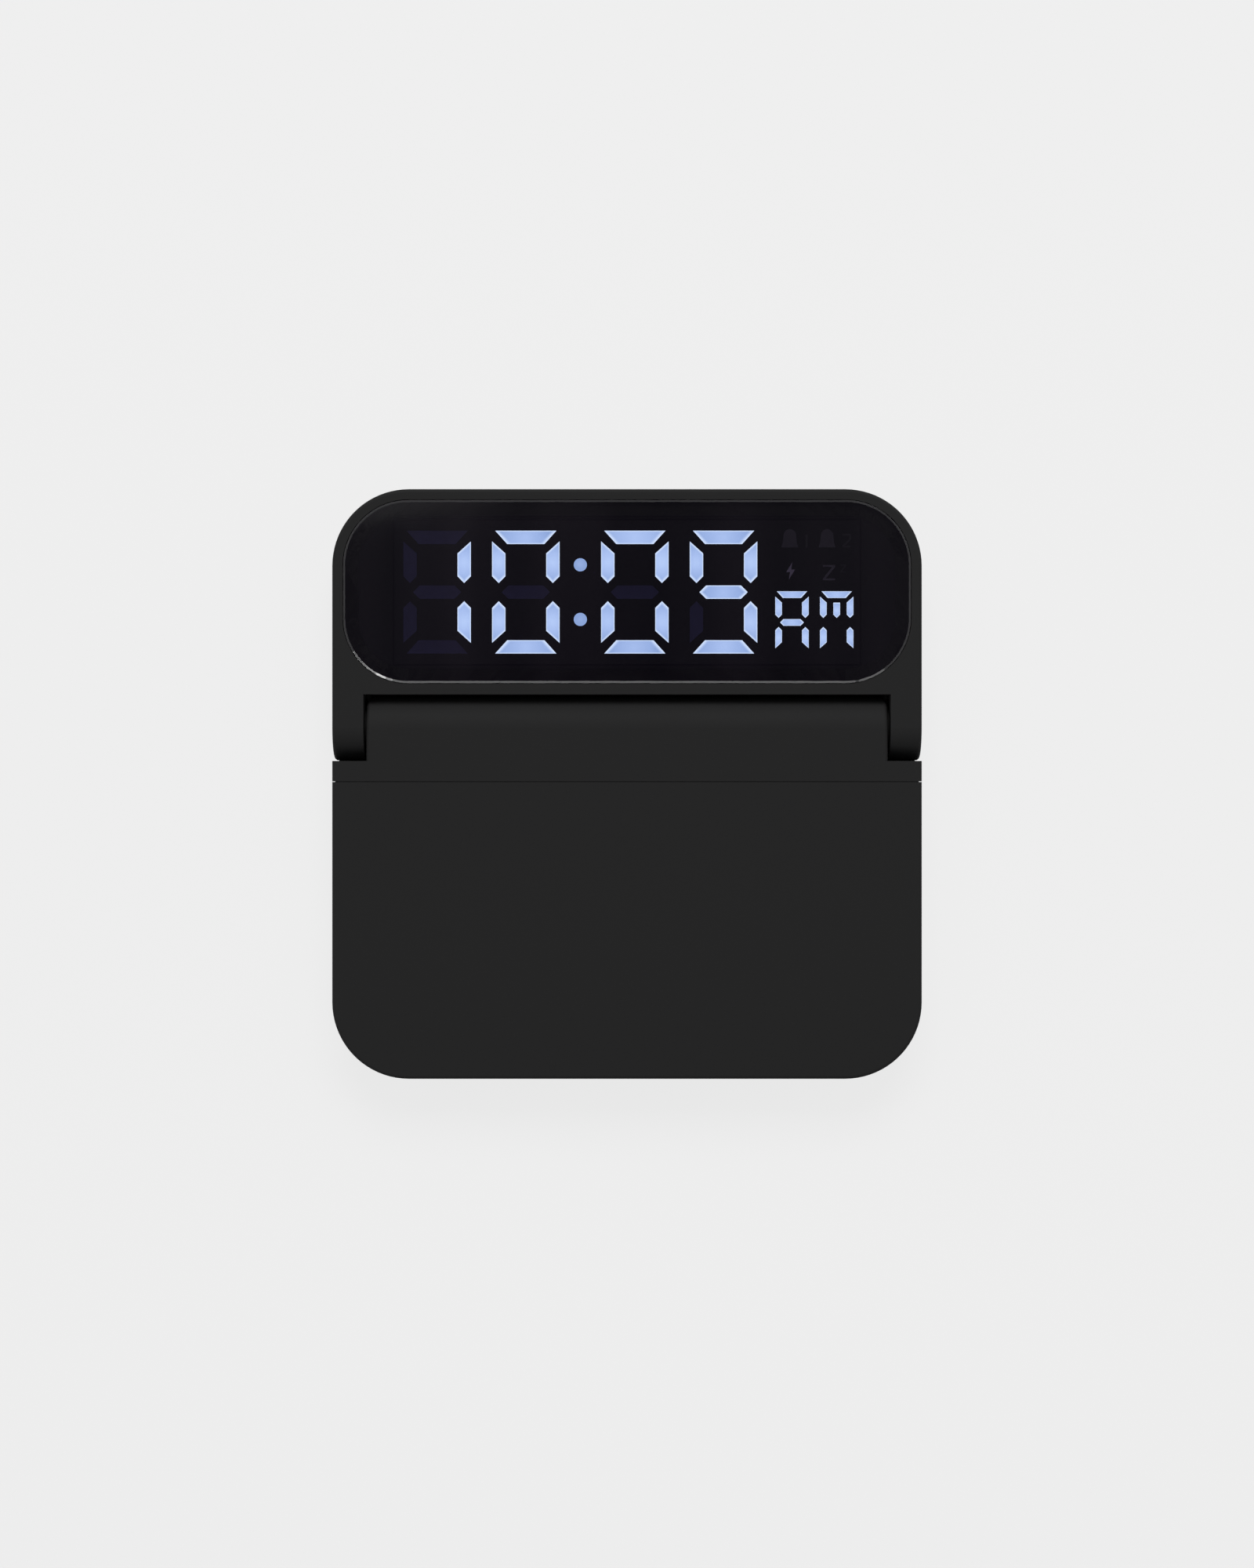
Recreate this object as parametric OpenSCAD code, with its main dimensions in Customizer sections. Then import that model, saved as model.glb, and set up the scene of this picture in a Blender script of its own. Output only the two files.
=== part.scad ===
// Folding alarm clock with a charging pad: a flat slab that opens at a friction hinge.
// +X is to the right, +Y towards the top of the display, +Z out of the display.
// The slab lies open on its feet, and the origin is under its middle, on the table.

/* [Body] */
// Width over the side faces
body_w = 100; // [96:1:120]
// Thickness of the slab without its feet
body_t = 11; // [10.6:0.1:14]
// Radius of the four outer corners
corner_r = 13; // [8:0.5:16]
// Rounding of the outer edges
edge_r = 0.6; // [0.2:0.1:1]
// Thickness of the side walls
wall = 1.6; // [1.2:0.1:2]
// Thickness of the top and bottom skins
skin = 1.4; // [1.2:0.1:1.8]
// Gap along the parting line between the shells
parting_gap = 0.2; // [0.1:0.05:0.4]
// Thickness of the inner lip that closes the parting line
ledge_t = 0.8; // [0.6:0.1:1]
// Height of the inner lip above and below the parting line
ledge_h = 0.9; // [0.7:0.1:1.2]

/* [Feet] */
// How far the feet stand below the shells
foot_h = 0.8; // [0.4:0.1:2]
// Depth of the seat that a foot is glued into
foot_seat = 0.5; // [0.3:0.1:0.8]
// Width of a foot strip
foot_w = 6; // [3:0.5:6]
// Length of a foot strip
foot_l = 52; // [20:1:60]
// Clearance around a foot in its seat
foot_gap = 0.1; // [0.05:0.05:0.2]
// Place of the front foot from the front edge
front_foot_in = 11; // [9:0.5:14]
// Place of the rear foot from the seam
rear_foot_in = 5; // [4:0.5:6]
// Place of the head's foot from the top edge
head_foot_in = 7; // [5:0.5:7.5]

/* [Base] */
// Length of the charging plate, from the front edge to the seam
pad_l = 50.4; // [46:0.2:70]
// Length of the hinge cover, from the seam to the shoulder
shoulder_l = 3.5; // [3:0.1:8]
// Gap at the seam between the charging plate and the hinge cover
seam_gap = 0.1; // [0.06:0.02:0.4]
// Width of the lip under the seam
lip_w = 2; // [1.5:0.1:3]
// Thickness of the lip under the seam
lip_t = 1; // [0.6:0.1:1.4]
// Depth of the lip's root behind the seam
lip_root = 1; // [0.8:0.1:1.2]
// Sideways place of the hinge cover screws
hinge_boss_x = 22; // [12:1:26]
// Sideways place of the rear plate screws
plate_boss_x = 40; // [30:1:42]

/* [Hinge] */
// Width of a hinge arm
arm_w = 5.3; // [5:0.1:8]
// Thickness of the walls of a hinge arm
arm_wall = 1.4; // [1.2:0.1:1.6]
// Gap between a hinge arm and the barrel end
side_gap = 0.5; // [0.4:0.1:1]
// Gap between the round parts of the hinge and what they turn past
hinge_gap = 0.15; // [0.1:0.05:0.6]
// Distance from the hinge axis to the hollow lips under the round parts of the hinge
cradle_in = 3; // [2:0.1:4]
// Distance of the base's hollow lips from its sides
cradle_side = 0.6; // [0.4:0.1:2]
// Thickness of the barrel ends
barrel_end = 2; // [1.5:0.1:3]
// Rounding of the barrel ends
barrel_edge_r = 0.6; // [0.2:0.1:1]
// Radius of the barrel's two rear corners, seen from above
barrel_corner_r = 2; // [1:0.1:2.4]
// Radius of the hinge pin
pin_r = 1.5; // [1.2:0.1:1.8]
// Running clearance of the turning fits
pin_clear = 0.05; // [0.02:0.01:0.1]
// Length of the hinge pin's tip inside its ring
pin_tip = 0.6; // [0.4:0.1:1]
// Length of the hinge pin's flat paddle from the hinge axis
paddle_l = 4; // [3:0.5:6]
// Clearance around the hinge pin's paddle
paddle_gap = 0.1; // [0.05:0.05:0.2]
// Outer radius of the hollow trunnion
trunnion_r = 2.2; // [2.1:0.1:2.4]
// Bore radius of the hollow trunnion
trunnion_bore_r = 1.6; // [1.5:0.05:1.7]
// Width of the hollow trunnion's flange
trunnion_flange = 0.7; // [0.4:0.1:1]
// Thickness of the hollow trunnion's flange
trunnion_flange_t = 0.6; // [0.4:0.1:0.8]
// Height of the channel in a hinge arm
channel_h = 3.2; // [3:0.1:3.6]
// Room around the hinge axis in a hinge arm
pocket_gap = 0.4; // [0.2:0.1:0.5]
// Length of the friction clip
clip_l = 7; // [4:0.5:10]
// Thickness of the friction clip's band and tail
clip_t = 0.8; // [0.6:0.1:1]
// Space beside the friction clip
clip_gap = 0.4; // [0.2:0.1:0.8]
// Length of the friction clip's tail from the hinge axis
clip_tail_l = 6.4; // [6:0.1:7]
// Length of the seat that holds the friction clip's tail
clip_seat_l = 3; // [2:0.1:3.2]
// Thickness of the bulkhead that carries the pin's inner end
bulkhead_t = 1.4; // [1:0.1:2]
// Thickness of the retaining ring
ring_t = 0.6; // [0.4:0.1:0.8]
// Outer radius of the retaining ring
ring_r = 2.7; // [2.2:0.1:3]
// Depth of the retaining ring's groove
groove_d = 0.3; // [0.2:0.05:0.5]
// Clearance beside washers and rings
washer_gap = 0.05; // [0.02:0.01:0.1]
// Outer radius of a hinge washer
washer_r = 3.6; // [2.8:0.1:4]

/* [Head] */
// Length of the head from the hinge axis to its top edge
head_l = 40.45; // [40:0.05:60]
// Width of the rim around the lens
bezel = 1.9; // [1.6:0.1:3]
// Corner radius of the lens
lens_r = 11; // [6:0.5:12]
// Thickness of the lens
lens_t = 1.5; // [1:0.1:2]
// How far the lens stands out of the rim
lens_proud = 0.2; // [0.1:0.05:0.3]
// Width of the bevel around the lens
lens_bevel_w = 0.35; // [0.1:0.05:0.5]
// Height of the bevel around the lens
lens_bevel_h = 0.2; // [0.1:0.05:0.3]
// Gap around the lens
lens_gap = 0.12; // [0.05:0.01:0.2]
// Thickness of the lens tape
tape_t = 0.2; // [0.1:0.05:0.4]
// Width of the lens tape
tape_w = 2.2; // [1.5:0.1:2.4]
// Distance of the lens tape from the lens's edge
tape_edge = 0.3; // [0.2:0.1:0.6]
// Thickness of the deck behind the lens
deck_t = 1.2; // [1:0.1:1.6]
// Height of the room behind the display board
rear_room = 2.6; // [2.5:0.1:3.4]

/* [Display] */
// Distance from the side faces to the light box face
face_margin = 10.5; // [10:0.1:16]
// Border of the light box face above and below the digits
face_edge = 1.765; // [1.2:0.005:2.2]
// Width of the light box flange under the deck
box_flange = 1.2; // [0.8:0.1:1.4]
// Clearance around the light box face
box_gap = 0.3; // [0.2:0.05:0.5]
// Height of a digit
digit_h = 20.87; // [16:0.01:22]
// Stroke width of a digit
digit_stroke = 2.27; // [1.6:0.01:2.6]
// Width of a digit, as a share of the face's width
digit_share = 0.1452; // [0.12:0.0001:0.16]
// Middle of the first digit from the middle of the face, as a share of the face's width
first_share = -0.4085; // [-0.415:0.0001:-0.4]
// Pitch of the two digits of a pair, as a share of the face's width
pair_share = 0.1908; // [0.18:0.0001:0.196]
// Pitch across the colon, as a share of the face's width
colon_share = 0.2346; // [0.225:0.0001:0.24]
// Height of the colon's dots above and below the middle
colon_y = 4.64; // [3:0.01:7]
// Diameter of the colon's dots
colon_d = 2.24; // [1.5:0.01:2.6]
// Pitch from the last digit to the first letter, as a share of the face's width
step_share = 0.1472; // [0.137:0.0001:0.158]
// Pitch of the two letters, as a share of the face's width
letter_pitch_share = 0.0962; // [0.084:0.0001:0.1]
// Width of a letter, as a share of the face's width
letter_share = 0.0718; // [0.05:0.0001:0.076]
// Height of a letter cell
letter_h = 10.57; // [8:0.01:11]
// Stroke width of a letter
letter_stroke = 1.13; // [0.8:0.01:1.3]
// Height of the upper row of symbols above the middle
bell_y = 9; // [8:0.1:10]
// Height of the lower row of symbols above the middle
bolt_y = 3.6; // [3:0.1:4.4]
// Thickness of the segment tiles
tile_t = 0.8; // [0.5:0.1:1.2]
// Length of a light chip
light_l = 0.9; // [0.5:0.1:1]
// Width of a light chip
light_w = 0.6; // [0.3:0.1:0.8]
// Height of a light chip
light_h = 0.4; // [0.3:0.1:0.6]
// Thickness of the symbol tiles
symbol_t = 0.3; // [0.2:0.1:0.6]

/* [Boards] */
// Thickness of the circuit boards
board_t = 1; // [0.8:0.1:1.2]
// Clearance around the boards
board_gap = 0.6; // [0.3:0.1:1]
// Height of the charger board above the floor
standoff = 1.2; // [1:0.1:1.5]
// Depth of the charger board from front to back
charger_board_l = 27; // [24:0.5:29]
// Radius of the posts under the boards
post_r = 1.8; // [1.5:0.1:2]
// Distance of the display board's posts from the ends of the light box face
post_in = 5.5; // [5:0.1:7]
// Distance of the display board's posts from the board's edge
post_edge = 2; // [1.9:0.1:2.4]
// Distance of the charger board's screws from its edges
board_hole = 3; // [2.5:0.1:4]
// Distance of the display board's ear from the inside of the side wall
ear_in = 2.4; // [2:0.1:3]

/* [Charger] */
// Inner diameter of the coil
coil_inner_d = 20; // [16:1:26]
// Width of the coil's wire
wire_w = 1; // [0.6:0.1:1.2]
// Gap between the coil's turns
turn_gap = 0.5; // [0.45:0.05:1]
// Height of the coil
coil_t = 1.2; // [0.8:0.1:1.4]
// Thickness of the ferrite
ferrite_t = 0.8; // [0.5:0.1:1]
// Clearance around the ferrite
ferrite_gap = 0.6; // [0.3:0.1:1.5]
// Margin of the ferrite around the coil
coil_margin = 1.5; // [0.5:0.1:3]
// Diameter of the coil's leads
coil_lead_d = 0.8; // [0.5:0.1:1]
// Board left beside the coil's outer lead
lead_edge = 3.4; // [2:0.1:5]
// Clearance of a coil lead in the ferrite
lead_hole_gap = 0.3; // [0.2:0.05:0.5]
// Sideways place of the controller chip
chip_x = -14; // [-16:0.5:-12]
// Distance of the controller chip behind the coil's middle
chip_up = 6; // [5:0.5:9]
// Width of the controller chip
chip_w = 7; // [5:0.5:8]
// Height of the controller chip
chip_h = 0.9; // [0.7:0.1:1.2]
// Distance of the power inductor in front of the coil's middle
inductor_drop = 7; // [6:0.5:8]
// Width of the power inductor
inductor_w = 6.6; // [5:0.1:7.3]
// Height of the power inductor
inductor_h = 2.9; // [2:0.1:3.2]
// Radius of the power inductor's core
inductor_core_r = 1.8; // [1.4:0.1:2]
// Width of the groove around the power inductor's core
inductor_groove_w = 0.8; // [0.4:0.1:1]
// Depth of the groove around the power inductor's core
inductor_groove_d = 0.4; // [0.2:0.1:0.8]
// Sideways place of the first capacitor
capacitor_x = -16; // [-20:0.5:-12]
// Pitch of the capacitors
capacitor_pitch = 5; // [4:0.1:6]
// Distance of the capacitors in front of the coil's middle
capacitor_drop = 8; // [6:0.5:10]
// Length of a capacitor
capacitor_l = 3.2; // [2:0.1:3.6]
// Width of a capacitor
capacitor_w = 2.5; // [1.2:0.1:3]
// Height of a capacitor
capacitor_h = 2.2; // [1:0.1:2.6]
// Width of the inlet's steel shell
usb_w = 8.94; // [8.9:0.01:9]
// Height of the inlet's steel shell
usb_h = 3.2; // [3.1:0.01:3.26]
// Depth of the inlet's steel shell
usb_l = 7.35; // [6.5:0.05:9]
// Sheet thickness of the inlet's shell
usb_t = 0.3; // [0.2:0.05:0.35]
// How far the inlet's mouth lies behind the side face
usb_recess = 0.4; // [0.1:0.1:0.8]
// Clearance around the inlet in the side wall
usb_gap = 0.3; // [0.15:0.05:0.5]

/* [Lead] */
// Diameter of the lead through the hinge
lead_d = 1; // [0.8:0.1:1.2]
// Bend radius of the lead
bend_r = 2.4; // [2:0.1:2.6]
// Sideways place where the lead leaves the charger board
lead_x = -30; // [-34:1:-27]
// Place in the barrel's end where the lead twists
split_in = 0.7; // [0.4:0.1:1.2]
// Clearance beside the lead in the arm
lead_gap = 0.2; // [0.1:0.05:0.4]
// Width of the charger board's connector
plug_w = 6; // [4:0.5:7]
// Depth of the charger board's connector
plug_l = 4; // [3:0.5:5]
// Distance of the display connector behind the head's front wall
head_plug_in = 2; // [1.5:0.1:3]
// Width of the display connector
head_plug_w = 5; // [4:0.1:5.2]
// Depth of the display connector
head_plug_l = 3.5; // [3:0.1:4]
// Height of the display connector
head_plug_h = 1.8; // [1.4:0.1:2.4]
// Clearance between the display connector and the side wall
head_plug_gap = 1.1; // [1:0.05:1.2]

/* [Screws] */
// Radius of a case screw's thread
screw_r = 0.85; // [0.7:0.05:1]
// Radius of a case screw's head
screw_head_r = 1.5; // [1.3:0.1:1.6]
// Height of a case screw's head
screw_head_h = 1.2; // [0.8:0.1:1.4]
// Depth of the screw heads below the shell
screw_sink = 0.4; // [0.2:0.1:0.6]
// Clearance around a screw
screw_gap = 0.15; // [0.1:0.05:0.2]
// Outer radius of a screw boss
boss_r = 2.2; // [2.1:0.1:2.4]
// Clearance beside a screw boss
boss_gap = 0.5; // [0.2:0.1:0.8]
// Clearance of the lower head bosses from the side walls
head_boss_in = 1.6; // [1.2:0.1:1.8]
// Distance of the lower head bosses below the middle of the lens
head_boss_drop = 6.2; // [5:0.1:7]
// Distance of the base screws' tips from the ceiling
tip_gap = 1; // [0.6:0.1:1.6]
// Depth of a pilot hole beyond its screw's tip
pilot_gap = 0.3; // [0.2:0.05:0.5]
// Radius of a board screw's thread
board_screw_r = 0.6; // [0.5:0.05:0.7]

/* [Buttons] */
// Length of a button
button_l = 10; // [7:0.5:11]
// Width of a button
button_w = 5; // [4:0.5:6]
// Pitch of the row of buttons
button_pitch = 14; // [13.5:0.5:16]
// Depth of the buttons below the rear face
button_sink = 0.2; // [0.1:0.1:0.5]
// Width of the flange that keeps a button in
button_flange = 0.7; // [0.4:0.1:1]
// Thickness of the flange that keeps a button in
button_flange_t = 0.6; // [0.4:0.1:0.7]
// Clearance around a button
button_gap = 0.15; // [0.1:0.05:0.3]
// Travel of a button
button_travel = 0.4; // [0.2:0.05:0.5]
// Room left under a button at its full travel
travel_gap = 0.05; // [0.03:0.01:0.1]
// Height of a switch's plunger
plunger_h = 0.35; // [0.2:0.05:0.4]
// Distance of the row of buttons above the middle of the lens
button_up = 1.8; // [1.6:0.1:2.4]
// Distance of the sounder, clock chip and backup cell below the middle of the lens
rear_row_drop = 8.2; // [8:0.1:8.6]
// Width of the clock chip
clock_chip_w = 7; // [4:0.5:8]
// Height of the clock chip
clock_chip_h = 1; // [0.7:0.1:1.4]
// Sideways place of the clock crystal
crystal_x = 10; // [6:0.5:14]
// Radius of the clock crystal's can
crystal_r = 1; // [0.6:0.1:1.1]
// Length of the clock crystal's can
crystal_l = 6; // [4:0.5:7]
// Radius of the sounder
sounder_r = 5.5; // [4:0.5:6]
// Height of the sounder
sounder_h = 2.2; // [1.6:0.1:2.3]
// Radius of the backup cell
cell_r = 6.25; // [4.5:0.25:6.25]
// Height of the backup cell
cell_h = 1.6; // [1.2:0.1:2]

/* [Hidden] */
$fn = 64;

// Colours of the finishes
plastic = [0.15, 0.15, 0.15];
smoked = [0.08, 0.07, 0.09];
rubber = [0.10, 0.10, 0.10];
steel = [0.70, 0.70, 0.72];
copper = [0.75, 0.42, 0.20];
board_green = [0.05, 0.25, 0.15];
chip_black = [0.07, 0.07, 0.07];
lit_blue = [0.70, 0.78, 0.96];
unlit_blue = [0.11, 0.10, 0.16];

// Overlap of joined solids, and overshoot of cutting tools
join = 0.3;
over = 1;

// Heights: underside, top and middle of the slab, and its inner floor and ceiling
knuckle_r = body_t / 2;
z_low = foot_h;
z_top = foot_h + body_t;
z_mid = foot_h + knuckle_r;
z_floor = z_low + skin;
z_ceiling = z_top - skin;

// Places along the slab
body_l = pad_l + shoulder_l + hinge_gap + knuckle_r + head_l;
y_front = -body_l / 2;
y_back = body_l / 2;
seam_y = y_front + pad_l;
shoulder_y = seam_y + shoulder_l;
hinge_y = shoulder_y + hinge_gap + knuckle_r;
head_in_y = hinge_y + knuckle_r + hinge_gap;

// Places across the slab
half_w = body_w / 2;
inner_x = half_w - wall;
arm_in = half_w - arm_w;
barrel_x = arm_in - side_gap;
room_x = barrel_x - barrel_end;
room_r = knuckle_r - skin;
channel_in = arm_in + arm_wall;
channel_out = half_w - arm_wall;
pocket_r = trunnion_r + pocket_gap;

// Hinge pin, from the arm inwards
clip_x1 = room_x - clip_gap;
clip_x0 = clip_x1 - clip_l;
bulkhead_x1 = clip_x0 - clip_gap;
bulkhead_x0 = bulkhead_x1 - bulkhead_t;
ring_x1 = bulkhead_x0 - washer_gap;
ring_x0 = ring_x1 - ring_t;
pin_x0 = ring_x0 - pin_tip;
clip_r = pin_r + pin_clear + clip_t;
trunnion_flange_r = trunnion_r + trunnion_flange;

// Lens, its seat, and the display stack
lens_w = body_w - 2 * bezel;
lens_l = y_back - head_in_y - 2 * bezel;
lens_y = (y_back + head_in_y) / 2;
lens_top = z_top + lens_proud;
lens_back = lens_top - lens_t;
deck_top = lens_back - tape_t;
deck_low = deck_top - deck_t;
display_board_z = z_floor + rear_room;
display_board_top = display_board_z + board_t;
face_z = deck_top;
face_w = body_w - 2 * face_margin;
face_h = digit_h + 2 * face_edge;
display_board_w = face_w + 2 * box_flange;
display_board_l = face_h + 2 * box_flange + 2 * board_gap;
post_x = face_w / 2 - post_in;
post_y = display_board_l / 2 - post_edge;

// Screw places
corner_boss = (corner_r - wall - boss_r - screw_gap) / sqrt(2);
front_boss = [half_w - corner_r + corner_boss, y_front + corner_r - corner_boss];
plate_boss = [plate_boss_x, seam_y - lip_w - boss_r - boss_gap];
hinge_boss = [hinge_boss_x, seam_y + lip_root + boss_r + 2 * boss_gap];
head_boss_low = [inner_x - boss_r - head_boss_in, lens_y - head_boss_drop];
head_boss_high = [half_w - corner_r + corner_boss, y_back - corner_r + corner_boss];
screw_seat_z = z_low + screw_sink + screw_head_h;
base_screw_tip = z_ceiling - tip_gap;
head_screw_tip = deck_low - pilot_gap;

// Charger parts
ferrite_w = pad_l - wall - lip_w - 2 * ferrite_gap;
pad_y = y_front + wall + ferrite_gap + ferrite_w / 2;
coil_pitch = wire_w + turn_gap;
coil_r0 = coil_inner_d / 2;
coil_r1 = ferrite_w / 2 - coil_margin;
coil_turns = floor((coil_r1 - coil_r0 - wire_w) / coil_pitch);
coil_z = z_ceiling - coil_t;
ferrite_z = coil_z - ferrite_t;
coil_end_x = coil_r0 + coil_turns * coil_pitch + wire_w;
outer_lead_x = ferrite_w / 2 + coil_lead_d;
inner_lead_x = coil_r0 - coil_lead_d;
charger_board_z = z_floor + standoff;
charger_board_top = charger_board_z + board_t;
board_x0 = -inner_x + board_gap;
board_x1 = outer_lead_x + lead_edge;
board_y0 = pad_y - charger_board_l / 2;
board_y1 = pad_y + charger_board_l / 2;
usb_x = -half_w + usb_recess;
usb_z = charger_board_top + usb_h / 2;
usb_corner = 1.2;

// Lead through the hinge
lead_split_x = -barrel_x + split_in;
lead_arm_x = -channel_in - lead_d / 2 - lead_gap;
lead_bend_x = lead_arm_x + bend_r;
head_plug_y = head_in_y + wall + head_plug_in;

// Rear controls
button_y = lens_y + button_up;
rear_row_y = lens_y - rear_row_drop;
cell_x = post_x - post_r - cell_r;
sounder_x = -cell_x;
button_xs = [for (i = [-1.5:1:1.5]) i * button_pitch];

// Feet
front_foot_y = y_front + front_foot_in;
rear_foot_y = seam_y - rear_foot_in;
head_foot_y = y_back - head_foot_in;

// Places of the display's characters, from the middle of the lens
digit_w = digit_share * face_w;
letter_w = letter_share * face_w;
digit_x = [
    first_share * face_w,
    (first_share + pair_share) * face_w,
    (first_share + pair_share + colon_share) * face_w,
    (first_share + 2 * pair_share + colon_share) * face_w
];
colon_x = (digit_x[1] + digit_x[2]) / 2;
letter_x = [digit_x[3] + step_share * face_w, digit_x[3] + (step_share + letter_pitch_share) * face_w];
letter_y = (letter_h - digit_h) / 2;
letter_names = [["a", "b", "c", "e", "f", "g"], ["a", "b", "c", "e", "f"]];

// Flat shapes

module rounded_rect(w, l, r) {
    square([w - 2 * r, l], center = true);
    square([w, l - 2 * r], center = true);
    for (x = [-1, 1], y = [-1, 1]) {
        translate([x * (w / 2 - r), y * (l / 2 - r)]) circle(r);
    }
}

// Strip with half-round ends
module pill(w, l) {
    square([w - l, l], center = true);
    for (x = [-1, 1]) translate([x * (w - l) / 2, 0]) circle(d = l);
}

// Section of the slab's border, with its rounded edges at x = depth
module border_section(depth) {
    square([depth - edge_r, body_t]);
    translate([0, edge_r]) square([depth, body_t - 2 * edge_r]);
    for (y = [edge_r, body_t - edge_r]) {
        translate([depth - edge_r, y]) circle(edge_r);
    }
}

// Inside outline of the slab, inset by one distance
module inner_outline(inset) {
    rounded_rect(body_w - 2 * inset, body_l - 2 * inset, corner_r - inset);
}

// Seven-segment strokes of a w by h cell with stroke s, named as on any such display
function stroke_inset(s) = 0.235 * s;
function stroke_drop(s) = 0.8 * s;
function stroke_miter(s) = 0.9 * s;
function stroke_tip(s) = 0.68 * s;
function stroke_point(s) = 0.5 * s;
function middle_inset(s) = 0.72 * s;

function bar_top(w, h, s) = let (x = w / 2 - stroke_inset(s), m = stroke_miter(s)) [
    [-x, h / 2], [x, h / 2], [x - m, h / 2 - s], [m - x, h / 2 - s]
];
function bar_middle(w, s) = let (x = w / 2 - middle_inset(s), p = stroke_point(s)) [
    [-x, 0], [p - x, s / 2], [x - p, s / 2], [x, 0], [x - p, -s / 2], [p - x, -s / 2]
];
function bar_left(w, h, s) = let (x = -w / 2, y = h / 2 - stroke_drop(s), t = stroke_tip(s)) [
    [x, y], [x + s, y - stroke_miter(s)], [x + s, t + stroke_point(s)], [x + s / 2, t],
    [x, t + stroke_point(s)]
];
function flip_x(points) = [for (p = points) [-p[0], p[1]]];
function flip_y(points) = [for (p = points) [p[0], -p[1]]];
function stroke_points(name, w, h, s) =
    name == "a" ? bar_top(w, h, s) :
    name == "b" ? flip_x(bar_left(w, h, s)) :
    name == "c" ? flip_y(flip_x(bar_left(w, h, s))) :
    name == "d" ? flip_y(bar_top(w, h, s)) :
    name == "e" ? flip_y(bar_left(w, h, s)) :
    name == "f" ? bar_left(w, h, s) :
    bar_middle(w, s);

module strokes(names, w, h, s) {
    for (name = names) polygon(stroke_points(name, w, h, s));
}

module digit_strokes(names) {
    strokes(names, digit_w, digit_h, digit_stroke);
}

module letter_strokes(names) {
    strokes(names, letter_w, letter_h, letter_stroke);
}

// Short middle stroke of the letter M
module letter_stub() {
    s = letter_stroke;
    top = letter_h / 2 - 1.7 * s;
    low = stroke_tip(s);
    polygon([
        [-s / 2, top], [s / 2, top], [s / 2, low + stroke_point(s)], [0, low],
        [-s / 2, low + stroke_point(s)]
    ]);
}

// Strokes that show nine minutes past ten in the morning, with the colon and the two letters
module lit_shapes() {
    translate([digit_x[0], 0]) digit_strokes(["b", "c"]);
    for (i = [1, 2]) {
        translate([digit_x[i], 0]) digit_strokes(["a", "b", "c", "d", "e", "f"]);
    }
    translate([digit_x[3], 0]) digit_strokes(["a", "b", "c", "d", "f", "g"]);
    for (y = [-colon_y, colon_y]) translate([colon_x, y]) circle(d = colon_d);
    for (i = [0, 1]) translate([letter_x[i], letter_y]) letter_strokes(letter_names[i]);
    translate([letter_x[1], letter_y]) letter_stub();
}

module unlit_shapes() {
    translate([digit_x[0], 0]) digit_strokes(["a", "d", "e", "f", "g"]);
    for (i = [1, 2]) translate([digit_x[i], 0]) digit_strokes(["g"]);
    translate([digit_x[3], 0]) digit_strokes(["e"]);
}

// Small symbols above the letters: two numbered bells, a bolt and a sleep sign
module bell() {
    translate([0, 0.65]) circle(1.05);
    polygon([[-1.05, 0.65], [1.05, 0.65], [1.2, -0.6], [1.45, -1.4], [-1.45, -1.4], [-1.2, -0.6]]);
}

module one() {
    polygon([[-0.3, 0.8], [0.15, 1.15], [0.15, -1.15], [-0.2, -1.15], [-0.2, 0.6]]);
}

module two() {
    polygon([
        [-0.75, 1.15], [0.75, 1.15], [0.75, 0.15], [-0.3, -0.85], [0.75, -0.85], [0.75, -1.15],
        [-0.75, -1.15], [-0.75, -0.8], [0.43, 0.28], [0.43, 0.85], [-0.75, 0.85]
    ]);
}

module bolt() {
    polygon([[0.3, 1.5], [-0.75, -0.2], [-0.1, -0.2], [-0.3, -1.5], [0.75, 0.25], [0.1, 0.25]]);
}

module sleep_sign(size) {
    w = 0.8 * size;
    s = 0.24 * size;
    polygon([
        [-w, size], [w, size], [w, size - s], [-w + 1.6 * s, -size + s], [w, -size + s],
        [w, -size], [-w, -size], [-w, -size + s], [w - 1.6 * s, size - s], [-w, size - s]
    ]);
}

module symbol_shapes() {
    bell_left = 0.37;
    one_right = 2.5;
    next_bell_left = 1.63;
    two_right = 1.7;
    number_drop = 0.25;
    bolt_left = 0.23;
    sleep_left = 1.3;
    sleep_drop = 0.3;
    sleep_size = 1.3;
    nap_right = 1.1;
    nap_up = 0.4;
    nap_size = 0.65;
    translate([letter_x[0] - bell_left, bell_y]) bell();
    translate([letter_x[0] + one_right, bell_y - number_drop]) one();
    translate([letter_x[1] - next_bell_left, bell_y]) bell();
    translate([letter_x[1] + two_right, bell_y - number_drop]) two();
    translate([letter_x[0] - bolt_left, bolt_y]) bolt();
    translate([letter_x[1] - sleep_left, bolt_y - sleep_drop]) sleep_sign(sleep_size);
    translate([letter_x[1] + nap_right, bolt_y + nap_up]) sleep_sign(nap_size);
}

// Outer forms

// Whole slab with rounded corners and edges
module slab() {
    x = half_w - corner_r;
    y = body_l / 2 - corner_r;
    translate([-x, -y, z_low]) cube([2 * x, 2 * y, body_t]);
    for (side = [0, 1]) mirror([side, 0, 0]) {
        translate([x, y, z_low]) rotate([90, 0, 0]) linear_extrude(2 * y) border_section(corner_r);
    }
    for (end = [0, 1]) mirror([0, end, 0]) {
        translate([-x, y, z_low]) rotate([90, 0, 90]) linear_extrude(2 * x) border_section(corner_r);
        for (side = [0, 1]) mirror([side, 0, 0]) {
            translate([x, y, z_low]) rotate_extrude(angle = 90) border_section(corner_r);
        }
    }
}

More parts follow.
